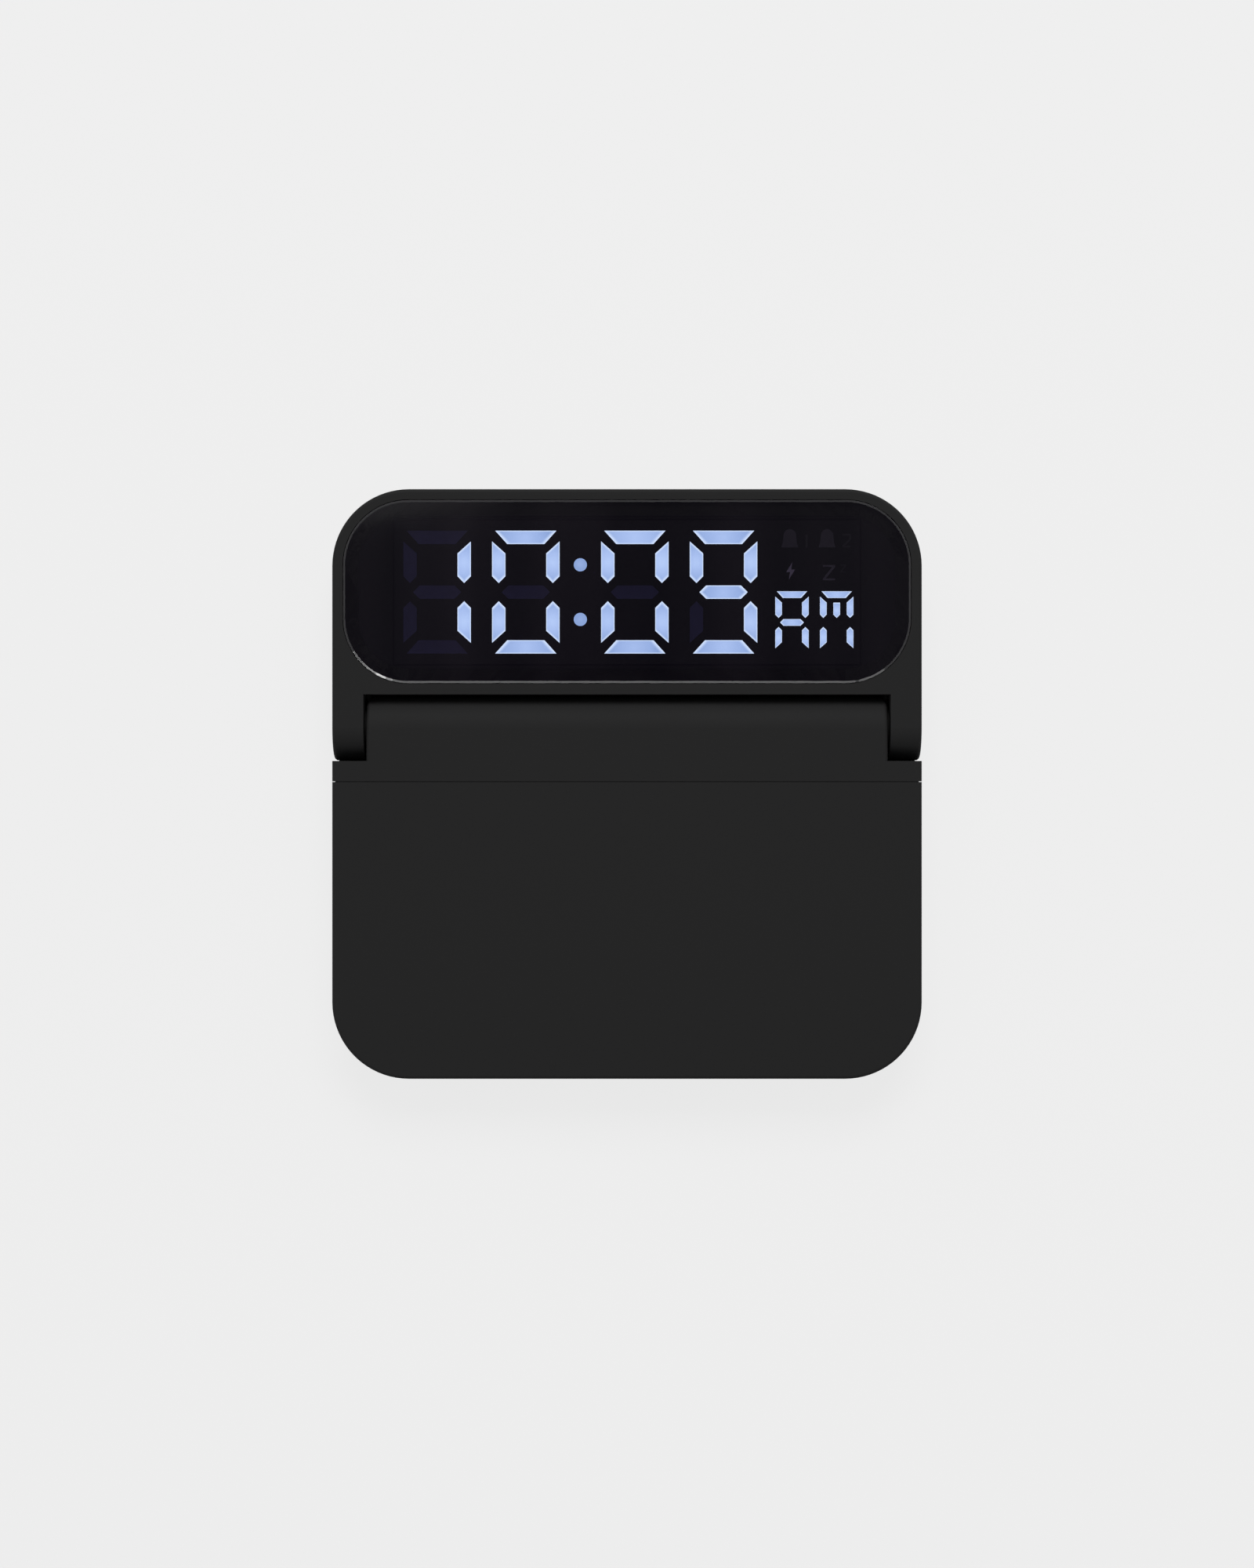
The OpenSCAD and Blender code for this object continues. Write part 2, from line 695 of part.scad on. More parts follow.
// Round end of an arm, behind the hinge axis
module knuckle() {
    translate([arm_in, hinge_y, z_mid]) rotate([0, 90, 0]) rotate([0, 0, 180])
        rotate_extrude(angle = 180) {
            square([knuckle_r - edge_r, arm_w]);
            square([knuckle_r, arm_w - edge_r]);
            translate([knuckle_r - edge_r, arm_w - edge_r]) circle(edge_r);
        }
}

module head_form() {
    intersection() {
        slab();
        translate([0, 0, z_low - over]) linear_extrude(body_t + 2 * over) polygon([
            [-body_w, hinge_y], [-arm_in, hinge_y], [-arm_in, head_in_y], [arm_in, head_in_y],
            [arm_in, hinge_y], [body_w, hinge_y], [body_w, body_l], [-body_w, body_l]
        ]);
    }
    for (side = [0, 1]) mirror([side, 0, 0]) knuckle();
}

// Base slab with the hinge barrel that reaches between the arms
module base_form() {
    r = barrel_edge_r;
    intersection() {
        slab();
        translate([-body_w, -body_l, 0]) cube([2 * body_w, body_l + shoulder_y, 2 * z_top]);
    }
    translate([0, hinge_y, z_mid]) rotate([90, 0, 0]) linear_extrude(hinge_y - shoulder_y + join)
        rounded_rect(2 * barrel_x, body_t, r);
    difference() {
        translate([-barrel_x, hinge_y, z_mid]) rotate([0, 90, 0]) rotate_extrude(angle = 180) {
            square([knuckle_r - r, 2 * barrel_x]);
            translate([0, r]) square([knuckle_r, 2 * (barrel_x - r)]);
            for (y = [r, 2 * barrel_x - r]) translate([knuckle_r - r, y]) circle(r);
        }
        for (side = [0, 1]) mirror([side, 0, 0]) barrel_corner_cut();
    }
}

// What is cut off a rear corner of the barrel to round it
module barrel_corner_cut() {
    c = barrel_corner_r;
    translate([barrel_x - c, hinge_y + knuckle_r - c, z_low - over]) linear_extrude(body_t + 2 * over)
        difference() {
            square(c + over);
            circle(c);
        }
}

module upper_side() {
    translate([-body_w, -body_l, z_mid + parting_gap / 2]) cube([2 * body_w, 2 * body_l, body_t]);
}

module lower_side() {
    translate([-body_w, -body_l, z_mid - parting_gap / 2 - body_t])
        cube([2 * body_w, 2 * body_l, body_t]);
}

// Hollow lip of a lower shell under the round part that turns past it
module cradle(x0, x1, y0, y1) {
    difference() {
        translate([x0, y0, z_low]) cube([x1 - x0, y1 - y0, knuckle_r - parting_gap / 2]);
        axis_bore(x0 - over, x1 + over, knuckle_r + hinge_gap);
    }
}

// Inner lip of a lower shell: it stands behind the upper shell's wall, clear of that shell's bosses
module parting_ledge() {
    difference() {
        translate([0, 0, z_mid - ledge_h]) {
            linear_extrude(2 * ledge_h) difference() {
                inner_outline(wall + parting_gap / 2);
                inner_outline(wall + ledge_t);
            }
            linear_extrude(ledge_h - parting_gap) difference() {
                inner_outline(wall - join);
                inner_outline(wall + ledge_t);
            }
        }
        both_sides(front_boss) ledge_notch();
        both_sides(head_boss_high) ledge_notch();
    }
}

module ledge_notch() {
    translate([0, 0, z_mid - ledge_h - over])
        cylinder(r = boss_r + screw_gap, h = 2 * (ledge_h + over));
}

// Rooms inside the shells

// Room of the base and its barrel, less the bulkhead that carries the pin
module base_room() {
    h = z_ceiling - z_floor;
    translate([0, 0, z_floor]) linear_extrude(h) intersection() {
        inner_outline(wall);
        translate([-body_w, -body_l]) square([2 * body_w, body_l + shoulder_y - wall]);
    }
    difference() {
        union() {
            y = shoulder_y - wall - over;
            translate([-room_x, y, z_floor]) cube([2 * room_x, hinge_y - y, h]);
            translate([-room_x, hinge_y, z_mid]) rotate([0, 90, 0]) rotate_extrude(angle = 180)
                square([room_r, 2 * room_x]);
        }
        translate([bulkhead_x0, hinge_y - room_r, z_low]) cube([bulkhead_t, 2 * body_t, body_t]);
    }
}

// Room of the head from the rear skin to the underside of the deck, with the arm channels
module head_room() {
    translate([0, 0, z_floor]) linear_extrude(deck_low - z_floor) intersection() {
        inner_outline(wall);
        translate([-body_w, head_in_y + wall]) square([2 * body_w, body_l]);
    }
    for (side = [0, 1]) mirror([side, 0, 0]) {
        translate([channel_in, hinge_y, z_mid - channel_h / 2])
            cube([channel_out - channel_in, head_in_y + wall + over - hinge_y, channel_h]);
        translate([channel_in, hinge_y, z_mid]) rotate([0, 90, 0])
            cylinder(r = pocket_r, h = channel_out - channel_in);
    }
}

// Bore along the hinge axis between two places
module axis_bore(x0, x1, r) {
    translate([x0, hinge_y, z_mid]) rotate([0, 90, 0]) cylinder(r = r, h = x1 - x0);
}

module barrel_bores() {
    axis_bore(bulkhead_x0 - over, arm_in, pin_r + pin_clear);
    axis_bore(-arm_in, -room_x + over, trunnion_r + pin_clear);
}

module arm_bores() {
    axis_bore(barrel_x, channel_in + join, pin_r + pin_clear);
    axis_bore(-channel_in - join, -barrel_x, trunnion_r + pin_clear);
}

module inlet_hole() {
    translate([-half_w - over, pad_y, usb_z]) rotate([90, 0, 90]) linear_extrude(wall + 2 * over)
        rounded_rect(usb_w + 2 * usb_gap, usb_h + 2 * usb_gap, usb_corner + usb_gap);
}

// Screws and their bosses

// Copies its child at both sides of the middle plane
module both_sides(place) {
    for (side = [-1, 1]) translate([side * place[0], place[1], 0]) children();
}

module lower_boss() {
    translate([0, 0, z_floor - join]) cylinder(r = boss_r, h = z_mid - z_floor + join);
}

module upper_boss(ceiling) {
    translate([0, 0, z_mid]) cylinder(r = boss_r, h = ceiling + join - z_mid);
}

module screw_way() {
    translate([0, 0, z_low - over]) cylinder(r = screw_r + screw_gap, h = body_t);
    translate([0, 0, z_low - over])
        cylinder(r = screw_head_r + screw_gap, h = screw_seat_z - z_low + over);
}

module screw_pilot(tip) {
    translate([0, 0, z_mid - over]) cylinder(r = screw_r + pin_clear, h = tip + pilot_gap - z_mid + over);
}

// Pan-head screw pointing up, with a cross recess
module case_screw(tip) {
    cross_w = 0.45;
    cross_l = 1.9;
    cross_d = 0.6;
    difference() {
        union() {
            translate([0, 0, screw_seat_z - screw_head_h]) cylinder(r = screw_head_r, h = screw_head_h);
            translate([0, 0, screw_seat_z - join]) cylinder(r = screw_r, h = tip - screw_seat_z + join);
        }
        for (turn = [0, 90]) rotate(turn)
            translate([-cross_l / 2, -cross_w / 2, screw_seat_z - screw_head_h - over])
                cube([cross_l, cross_w, cross_d + over]);
    }
}

module board_screw() {
    head_r = 1.2;
    head_h = 0.7;
    translate([0, 0, charger_board_top]) cylinder(r = head_r, h = head_h);
    translate([0, 0, z_floor]) cylinder(r = board_screw_r, h = charger_board_top - z_floor + join);
}

module board_corners() {
    for (x = [board_x0 + board_hole, board_x1 - board_hole]) {
        for (y = [board_y0 + board_hole, board_y1 - board_hole]) translate([x, y, 0]) children();
    }
}

// Feet

module foot_shape(gap) {
    pill(foot_l + 2 * gap, foot_w + 2 * gap);
}

module foot(y) {
    translate([0, y, 0]) linear_extrude(foot_h + foot_seat) foot_shape(0);
}

module foot_recess(y) {
    translate([0, y, z_low - over]) linear_extrude(foot_seat + over) foot_shape(foot_gap);
}

// Base

module base_tray() {
    color(plastic) difference() {
        union() {
            difference() {
                intersection() {
                    base_form();
                    lower_side();
                }
                base_room();
            }
            intersection() {
                parting_ledge();
                translate([-body_w, -body_l, 0]) cube([2 * body_w, body_l + shoulder_y - wall, z_top]);
            }
            for (side = [0, 1]) mirror([side, 0, 0]) cradle(
                barrel_x - barrel_edge_r, half_w - cradle_side, shoulder_y - join, hinge_y - cradle_in
            );
            both_sides(front_boss) lower_boss();
            both_sides(plate_boss) lower_boss();
            both_sides(hinge_boss) lower_boss();
            board_corners() translate([0, 0, z_floor - join]) cylinder(r = post_r, h = standoff + join);
            translate([clip_x0, hinge_y - clip_tail_l, z_floor - join])
                cube([clip_l, clip_seat_l, z_mid - clip_t / 2 - z_floor + join]);
        }
        both_sides(front_boss) screw_way();
        both_sides(plate_boss) screw_way();
        both_sides(hinge_boss) screw_way();
        board_corners() translate([0, 0, z_floor]) cylinder(r = board_screw_r + pin_clear, h = body_t);
        foot_recess(front_foot_y);
        foot_recess(rear_foot_y);
        inlet_hole();
        barrel_bores();
    }
}

module charging_plate() {
    color(plastic) difference() {
        union() {
            difference() {
                intersection() {
                    base_form();
                    upper_side();
                    translate([-body_w, -body_l, 0])
                        cube([2 * body_w, body_l + seam_y - seam_gap / 2, 2 * z_top]);
                }
                base_room();
            }
            both_sides(front_boss) upper_boss(z_ceiling);
            both_sides(plate_boss) upper_boss(z_ceiling);
        }
        both_sides(front_boss) screw_pilot(base_screw_tip);
        both_sides(plate_boss) screw_pilot(base_screw_tip);
        inlet_hole();
    }
}

module hinge_cover() {
    lip_y = seam_y - lip_w;
    color(plastic) difference() {
        union() {
            difference() {
                intersection() {
                    base_form();
                    upper_side();
                    translate([-body_w, seam_y + seam_gap / 2, 0]) cube([2 * body_w, body_l, 2 * z_top]);
                }
                base_room();
            }
            both_sides(hinge_boss) upper_boss(z_ceiling);
            translate([clip_x0, hinge_y - clip_tail_l, z_mid + clip_t / 2])
                cube([clip_l, clip_seat_l, z_ceiling + join - z_mid - clip_t / 2]);
            translate([-inner_x + seam_gap, lip_y, z_ceiling - lip_t])
                cube([2 * (inner_x - seam_gap), lip_w + seam_gap + lip_root, lip_t]);
            translate([-inner_x + seam_gap, seam_y + seam_gap / 2, z_ceiling - lip_t])
                cube([2 * (inner_x - seam_gap), lip_root, lip_t + join]);
        }
        both_sides(hinge_boss) screw_pilot(base_screw_tip);
        barrel_bores();
    }
}

module base_feet() {
    color(rubber) {
        foot(front_foot_y);
        foot(rear_foot_y);
    }
}

module base_screws() {
    color(steel) {
        both_sides(front_boss) case_screw(base_screw_tip);
        both_sides(plate_boss) case_screw(base_screw_tip);
        both_sides(hinge_boss) case_screw(base_screw_tip);
    }
}

// Charger

// Flat spiral of wire: its inner edge grows by one pitch a turn
function spiral_r(a) = coil_r0 + coil_pitch * a / 360;
function spiral_point(a, out) = (spiral_r(a) + out) * [cos(a), sin(a)];

module charging_coil() {
    step = 12;
    angles = [0:step:coil_turns * 360];
    inner = [for (a = angles) spiral_point(a, 0)];
    outer = [for (i = [len(inner) - 1:-1:0]) spiral_point(i * step, wire_w)];
    gaps = [for (a = [0:step:(coil_turns - 1) * 360])
        norm(spiral_point(a + 360, 0) - spiral_point(a, wire_w))];
    echo(least_coil_gap = min(gaps));
    color(copper) translate([0, pad_y, coil_z]) linear_extrude(coil_t) polygon(concat(inner, outer));
}

module coil_leads() {
    r = coil_lead_d / 2;
    z = coil_z + coil_t / 2;
    color(copper) {
        translate([coil_end_x, pad_y, z]) rotate([0, 90, 0]) cylinder(r = r, h = outer_lead_x - coil_end_x);
        translate([outer_lead_x, pad_y, z]) sphere(r);
        translate([outer_lead_x, pad_y, charger_board_top]) cylinder(r = r, h = z - charger_board_top);
        translate([inner_lead_x, pad_y, charger_board_top]) cylinder(r = r, h = z - charger_board_top);
    }
}

module ferrite_shield() {
    hole_r = coil_lead_d / 2 + lead_hole_gap;
    color("dimgray") translate([0, pad_y, ferrite_z]) difference() {
        translate([-ferrite_w / 2, -ferrite_w / 2, 0]) cube([ferrite_w, ferrite_w, ferrite_t]);
        translate([inner_lead_x, 0, -over]) cylinder(r = hole_r, h = ferrite_t + 2 * over);
    }
}

module charger_board() {
    color(board_green) difference() {
        translate([board_x0, board_y0, charger_board_z])
            cube([board_x1 - board_x0, charger_board_l, board_t]);
        board_corners() translate([0, 0, z_low]) cylinder(r = board_screw_r + screw_gap, h = body_t);
    }
}

// Box that stands on the charger board
module board_block(x, y, size) {
    translate([x - size[0] / 2, y - size[1] / 2, charger_board_top]) cube(size);
}

module controller_chip() {
    color(chip_black) board_block(chip_x, pad_y + chip_up, [chip_w, chip_w, chip_h]);
}

module power_inductor() {
    y = pad_y - inductor_drop;
    color(chip_black) difference() {
        board_block(lead_x, y, [inductor_w, inductor_w, inductor_h]);
        translate([lead_x, y, charger_board_top + inductor_h - inductor_groove_d]) difference() {
            cylinder(r = inductor_core_r + inductor_groove_w, h = over);
            translate([0, 0, -over]) cylinder(r = inductor_core_r, h = 3 * over);
        }
    }
}

module resonant_capacitors() {
    color("tan") for (i = [0:3])
        board_block(capacitor_x + capacitor_pitch * i, pad_y - capacitor_drop,
            [capacitor_l, capacitor_w, capacitor_h]);
}

module board_connector() {
    color("ivory") board_block(lead_x, board_y1 - plug_l / 2,
        [plug_w, plug_l, 2 * (z_mid - charger_board_top)]);
}

module board_screws() {
    color(steel) board_corners() board_screw();
}

module usb_shell() {
    color(steel) difference() {
        translate([usb_x, pad_y, usb_z]) rotate([90, 0, 90]) linear_extrude(usb_l)
            rounded_rect(usb_w, usb_h, usb_corner);
        translate([usb_x - over, pad_y, usb_z]) rotate([90, 0, 90]) linear_extrude(usb_l + over - usb_t)
            rounded_rect(usb_w - 2 * usb_t, usb_h - 2 * usb_t, usb_corner - usb_t);
    }
}

module usb_tongue() {
    tongue_w = 6.69;
    tongue_h = 0.7;
    tongue_in = 0.9;
    color(chip_black) translate([usb_x + tongue_in, pad_y - tongue_w / 2, usb_z - tongue_h / 2])
        cube([usb_l - tongue_in - usb_t, tongue_w, tongue_h]);
}

// Hinge parts of the base

// Spring band around the pin, held by its tail between the two shells
module friction_clip() {
    color(steel) difference() {
        union() {
            axis_bore(clip_x0, clip_x1, clip_r);
            translate([clip_x0, hinge_y - clip_tail_l, z_mid - clip_t / 2])
                cube([clip_l, clip_tail_l, clip_t]);
        }
        axis_bore(clip_x0 - over, clip_x1 + over, pin_r + pin_clear);
    }
}

// Hollow pivot that lets the lead into the arm
module cable_trunnion() {
    color(steel) difference() {
        union() {
            axis_bore(-channel_in, -room_x, trunnion_r);
            axis_bore(-room_x, -room_x + trunnion_flange_t, trunnion_flange_r);
        }
        axis_bore(-half_w, 0, trunnion_bore_r);
    }
}

module lead_bend() {
    rotate_extrude(angle = 90) translate([bend_r, 0]) circle(d = lead_d);
}

module base_lead() {
    r = lead_d / 2;
    color(chip_black) {
        translate([lead_x, board_y1, z_mid]) rotate([-90, 0, 0])
            cylinder(r = r, h = hinge_y - bend_r - board_y1);
        translate([lead_x - bend_r, hinge_y - bend_r, z_mid]) lead_bend();
        axis_bore(lead_split_x, lead_x - bend_r, r);
    }
}

// Head

module head_frame() {
    color(plastic) difference() {
        union() {
            difference() {
                intersection() {
                    head_form();
                    upper_side();
                }
                head_room();
            }
            both_sides(head_boss_low) upper_boss(deck_low);
            both_sides(head_boss_high) upper_boss(deck_low);
        }
        translate([0, lens_y, deck_top]) linear_extrude(body_t)
            rounded_rect(lens_w + 2 * lens_gap, lens_l + 2 * lens_gap, lens_r + lens_gap);
        translate([0, lens_y, deck_low - over]) linear_extrude(body_t)
            square([face_w + 2 * box_gap, face_h + 2 * box_gap], center = true);
        both_sides(head_boss_low) screw_pilot(head_screw_tip);
        both_sides(head_boss_high) screw_pilot(head_screw_tip);
        arm_bores();
    }
}

// Seven holes over the sounder
module sound_holes() {
    hole_r = 0.6;
    ring = 2.4;
    translate([sounder_x, rear_row_y, z_low - over]) {
        cylinder(r = hole_r, h = skin + 2 * over);
        for (turn = [0:60:300]) rotate(turn) translate([ring, 0, 0])
            cylinder(r = hole_r, h = skin + 2 * over);
    }
}

module button_shape(gap) {
    pill(button_l + 2 * gap, button_w + 2 * gap);
}

module rear_cover() {
    color(plastic) difference() {
        union() {
            difference() {
                intersection() {
                    head_form();
                    lower_side();
                }
                head_room();
            }
            intersection() {
                parting_ledge();
                translate([-body_w, head_in_y + wall, 0]) cube([2 * body_w, body_l, z_top]);
            }
            cradle(-arm_in - join, arm_in + join, hinge_y + cradle_in, head_in_y + join);
            both_sides(head_boss_low) lower_boss();
            both_sides(head_boss_high) lower_boss();
            for (y = [-post_y, post_y]) both_sides([post_x, lens_y + y])
                translate([0, 0, z_floor - join]) cylinder(r = post_r, h = rear_room + join);
        }
        both_sides(head_boss_low) screw_way();
        both_sides(head_boss_high) screw_way();
        for (x = button_xs) translate([x, button_y, z_low - over])
            linear_extrude(skin + 2 * over) button_shape(button_gap);
        sound_holes();
        foot_recess(head_foot_y);
        arm_bores();
    }
}

// Section of the lens from its middle to one edge, with the bevel at its front
module lens_section(reach) {
    polygon([
        [0, 0], [reach, 0], [reach, lens_t - lens_bevel_h], [reach - lens_bevel_w, lens_t], [0, lens_t]
    ]);
}

// Smoked lens with a bevel around its front
module display_lens() {
    x = lens_w / 2 - lens_r;
    y = lens_l / 2 - lens_r;
    color(smoked) translate([0, lens_y, lens_back]) {
        for (side = [0, 1]) mirror([side, 0, 0]) {
            translate([0, y, 0]) rotate([90, 0, 0]) linear_extrude(2 * y) lens_section(lens_w / 2);
        }
        for (end = [0, 1]) mirror([0, end, 0]) {
            translate([-x, 0, 0]) rotate([90, 0, 90]) linear_extrude(2 * x) lens_section(lens_l / 2);
            for (side = [0, 1]) mirror([side, 0, 0]) translate([x, y, 0])
                rotate_extrude(angle = 90) lens_section(lens_r);
        }
    }
}

module lens_tape() {
    in = tape_edge + tape_w;
    color(chip_black) translate([0, lens_y, deck_top]) linear_extrude(tape_t) difference() {
        rounded_rect(lens_w - 2 * tape_edge, lens_l - 2 * tape_edge, lens_r - tape_edge);
        rounded_rect(lens_w - 2 * in, lens_l - 2 * in, lens_r - in);
    }
}

// Block that holds the segment tiles over their lights
module light_box() {
    h = face_z - display_board_top;
    flange_h = deck_low - display_board_top;
    color(chip_black) translate([0, lens_y, display_board_top]) difference() {
        union() {
            linear_extrude(h) square([face_w, face_h], center = true);
            linear_extrude(flange_h)
                square([face_w + 2 * box_flange, face_h + 2 * box_flange], center = true);
        }
        translate([0, 0, -over]) linear_extrude(h + 2 * over) lit_shapes();
        translate([0, 0, -over]) linear_extrude(h + 2 * over) unlit_shapes();
        translate([0, 0, h - symbol_t]) linear_extrude(over) symbol_shapes();
    }
}

module lit_segments() {
    color(lit_blue) translate([0, lens_y, face_z - tile_t]) linear_extrude(tile_t) lit_shapes();
}

module unlit_segments() {
    color(unlit_blue) translate([0, lens_y, face_z - tile_t]) linear_extrude(tile_t) unlit_shapes();
}

module status_symbols() {
    color(unlit_blue) translate([0, lens_y, face_z - symbol_t]) linear_extrude(symbol_t) symbol_shapes();
}

// One light chip on the board under the middle of each stroke
function middle_of(points) = [
    for (k = [0, 1]) (min([for (p = points) p[k]]) + max([for (p = points) p[k]])) / 2
];

module stroke_lights(names, w, h, s) {
    chip = [light_l, light_w, light_h];
    for (name = names) translate(middle_of(stroke_points(name, w, h, s)))
        translate([-chip[0] / 2, -chip[1] / 2, 0]) cube(chip);
}

module segment_lights() {
    color("gold") translate([0, lens_y, display_board_top]) {
        for (x = digit_x) translate([x, 0, 0])
            stroke_lights(["a", "b", "c", "d", "e", "f", "g"], digit_w, digit_h, digit_stroke);
        for (i = [0, 1]) translate([letter_x[i], letter_y, 0])
            stroke_lights(letter_names[i], letter_w, letter_h, letter_stroke);
        for (y = [-colon_y, colon_y]) translate([colon_x, y, 0]) cylinder(d = light_l, h = light_h);
    }
}

// Display board with an ear for the lead's connector
module display_board() {
    ear_x = -inner_x + ear_in;
    color(board_green) translate([0, 0, display_board_z]) linear_extrude(board_t) {
        translate([0, lens_y]) square([display_board_w, display_board_l], center = true);
        translate([ear_x, lens_y - display_board_l / 2]) square([-ear_x - face_w / 2, plug_l]);
    }
}

// Box that hangs under the display board
module rear_block(x, y, size) {
    translate([x - size[0] / 2, y - size[1] / 2, display_board_z - size[2]]) cube(size);
}

module clock_chip() {
    color(chip_black) rear_block(0, rear_row_y, [clock_chip_w, clock_chip_w, clock_chip_h]);
}

module clock_crystal() {
    color(steel) translate([crystal_x, rear_row_y - crystal_l / 2, display_board_z - crystal_r])
        rotate([-90, 0, 0]) cylinder(r = crystal_r, h = crystal_l);
}

module sounder() {
    hole_r = 1;
    hole_d = 0.8;
    color(chip_black) translate([sounder_x, rear_row_y, display_board_z - sounder_h]) difference() {
        cylinder(r = sounder_r, h = sounder_h);
        translate([0, 0, -over]) cylinder(r = hole_r, h = over + hole_d);
    }
}

module backup_cell() {
    color(steel) translate([cell_x, rear_row_y, display_board_z - cell_h]) cylinder(r = cell_r, h = cell_h);
}

// Sheet strap that holds the cell against the board
module cell_clip() {
    t = 0.3;
    strap_w = 4;
    gap = 0.2;
    x = cell_r + gap;
    color(steel) {
        rear = display_board_z - cell_h - t;
        translate([cell_x - x - t, rear_row_y - strap_w / 2, rear]) cube([2 * (x + t), strap_w, t]);
        for (side = [-x - t, x]) translate([cell_x + side, rear_row_y - strap_w / 2, rear])
            cube([t, strap_w, cell_h + t]);
    }
}

module push_switches() {
    size = 4.5;
    plunger_r = 1;
    body_h = rear_room - button_flange_t - button_travel - travel_gap - plunger_h;
    color(chip_black) for (x = button_xs) {
        rear_block(x, button_y, [size, size, body_h]);
        translate([x, button_y, display_board_z - body_h - plunger_h])
            cylinder(r = plunger_r, h = plunger_h + join);
    }
}

module display_connector() {
    color("ivory") translate([-inner_x + head_plug_gap, head_plug_y, display_board_top])
        cube([head_plug_w, head_plug_l, head_plug_h]);
}

module head_lead() {
    r = lead_d / 2;
    color(chip_black) {
        axis_bore(lead_bend_x, lead_split_x, r);
        translate([lead_bend_x, hinge_y + bend_r, z_mid]) rotate([0, 0, 180]) lead_bend();
        translate([lead_arm_x, hinge_y + bend_r, z_mid]) rotate([-90, 0, 0])
            cylinder(r = r, h = head_plug_y - hinge_y - bend_r);
    }
}

module head_screws() {
    color(steel) {
        both_sides(head_boss_low) case_screw(head_screw_tip);
        both_sides(head_boss_high) case_screw(head_screw_tip);
    }
}

module head_foot() {
    color(rubber) foot(head_foot_y);
}

// Pin with a ring groove at its inner end and a flat paddle that lies in the arm's channel
module hinge_pin() {
    paddle_h = channel_h - 2 * paddle_gap;
    color(steel) difference() {
        union() {
            axis_bore(pin_x0, channel_in + paddle_gap + join, pin_r);
            translate([channel_in + paddle_gap, hinge_y - pin_r, z_mid - paddle_h / 2])
                cube([channel_out - channel_in - 2 * paddle_gap, pin_r + paddle_l, paddle_h]);
        }
        difference() {
            axis_bore(ring_x0 - washer_gap, ring_x1 + washer_gap, pin_r + over);
            axis_bore(ring_x0 - over, ring_x1 + over, pin_r - groove_d);
        }
    }
}

module hinge_washers() {
    color("ivory") for (side = [0, 1]) mirror([side, 0, 0]) difference() {
        axis_bore(barrel_x + washer_gap, arm_in - washer_gap, washer_r);
        axis_bore(barrel_x - over, arm_in + over, trunnion_r + pin_clear);
    }
}

module pin_ring() {
    color(steel) difference() {
        axis_bore(ring_x0, ring_x1, ring_r);
        axis_bore(ring_x0 - over, ring_x1 + over, pin_r - groove_d + pin_clear);
    }
}

// Flush key with a flange inside the cover
module button(index) {
    color(plastic) translate([button_xs[index], button_y, 0]) {
        translate([0, 0, z_low + button_sink]) linear_extrude(skin - button_sink + join) button_shape(0);
        translate([0, 0, z_floor]) linear_extrude(button_flange_t) button_shape(button_flange);
    }
}

module set_button() {
    button(0);
}

module up_button() {
    button(1);
}

module down_button() {
    button(2);
}

module alarm_button() {
    button(3);
}

base_tray();
charging_plate();
hinge_cover();
base_feet();
base_screws();
charging_coil();
coil_leads();
ferrite_shield();
charger_board();
controller_chip();
power_inductor();
resonant_capacitors();
board_connector();
board_screws();
usb_shell();
usb_tongue();
friction_clip();
cable_trunnion();
base_lead();
head_frame();
rear_cover();
display_lens();
lens_tape();
light_box();
lit_segments();
unlit_segments();
status_symbols();
segment_lights();
display_board();
clock_chip();
clock_crystal();
sounder();
backup_cell();
cell_clip();
push_switches();
display_connector();
head_lead();
head_screws();
head_foot();
hinge_pin();
hinge_washers();
pin_ring();
set_button();
up_button();
down_button();
alarm_button();
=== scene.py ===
import bpy
import numpy as np
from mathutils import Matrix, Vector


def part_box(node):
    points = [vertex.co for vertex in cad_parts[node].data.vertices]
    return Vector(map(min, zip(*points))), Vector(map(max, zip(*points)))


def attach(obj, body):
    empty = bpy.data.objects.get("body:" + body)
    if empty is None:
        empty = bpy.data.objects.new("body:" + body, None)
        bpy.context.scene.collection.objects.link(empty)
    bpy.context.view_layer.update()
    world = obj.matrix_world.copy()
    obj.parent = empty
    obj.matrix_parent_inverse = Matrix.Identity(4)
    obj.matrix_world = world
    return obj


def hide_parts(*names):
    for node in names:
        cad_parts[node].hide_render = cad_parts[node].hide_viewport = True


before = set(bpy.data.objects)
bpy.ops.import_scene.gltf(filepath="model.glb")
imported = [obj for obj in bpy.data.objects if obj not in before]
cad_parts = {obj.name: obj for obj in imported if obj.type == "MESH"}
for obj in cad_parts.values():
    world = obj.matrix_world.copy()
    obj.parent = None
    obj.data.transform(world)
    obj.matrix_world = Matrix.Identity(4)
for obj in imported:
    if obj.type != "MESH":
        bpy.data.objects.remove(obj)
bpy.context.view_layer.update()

# Base tray: the lower half of the base, injection moulded in black ABS with a fine spark texture and
# a soft matte coat. Posts for the charger board, screw bosses and the lower half of the hinge barrel
# are moulded in one with it, and a lip inside its wall closes the parting line.


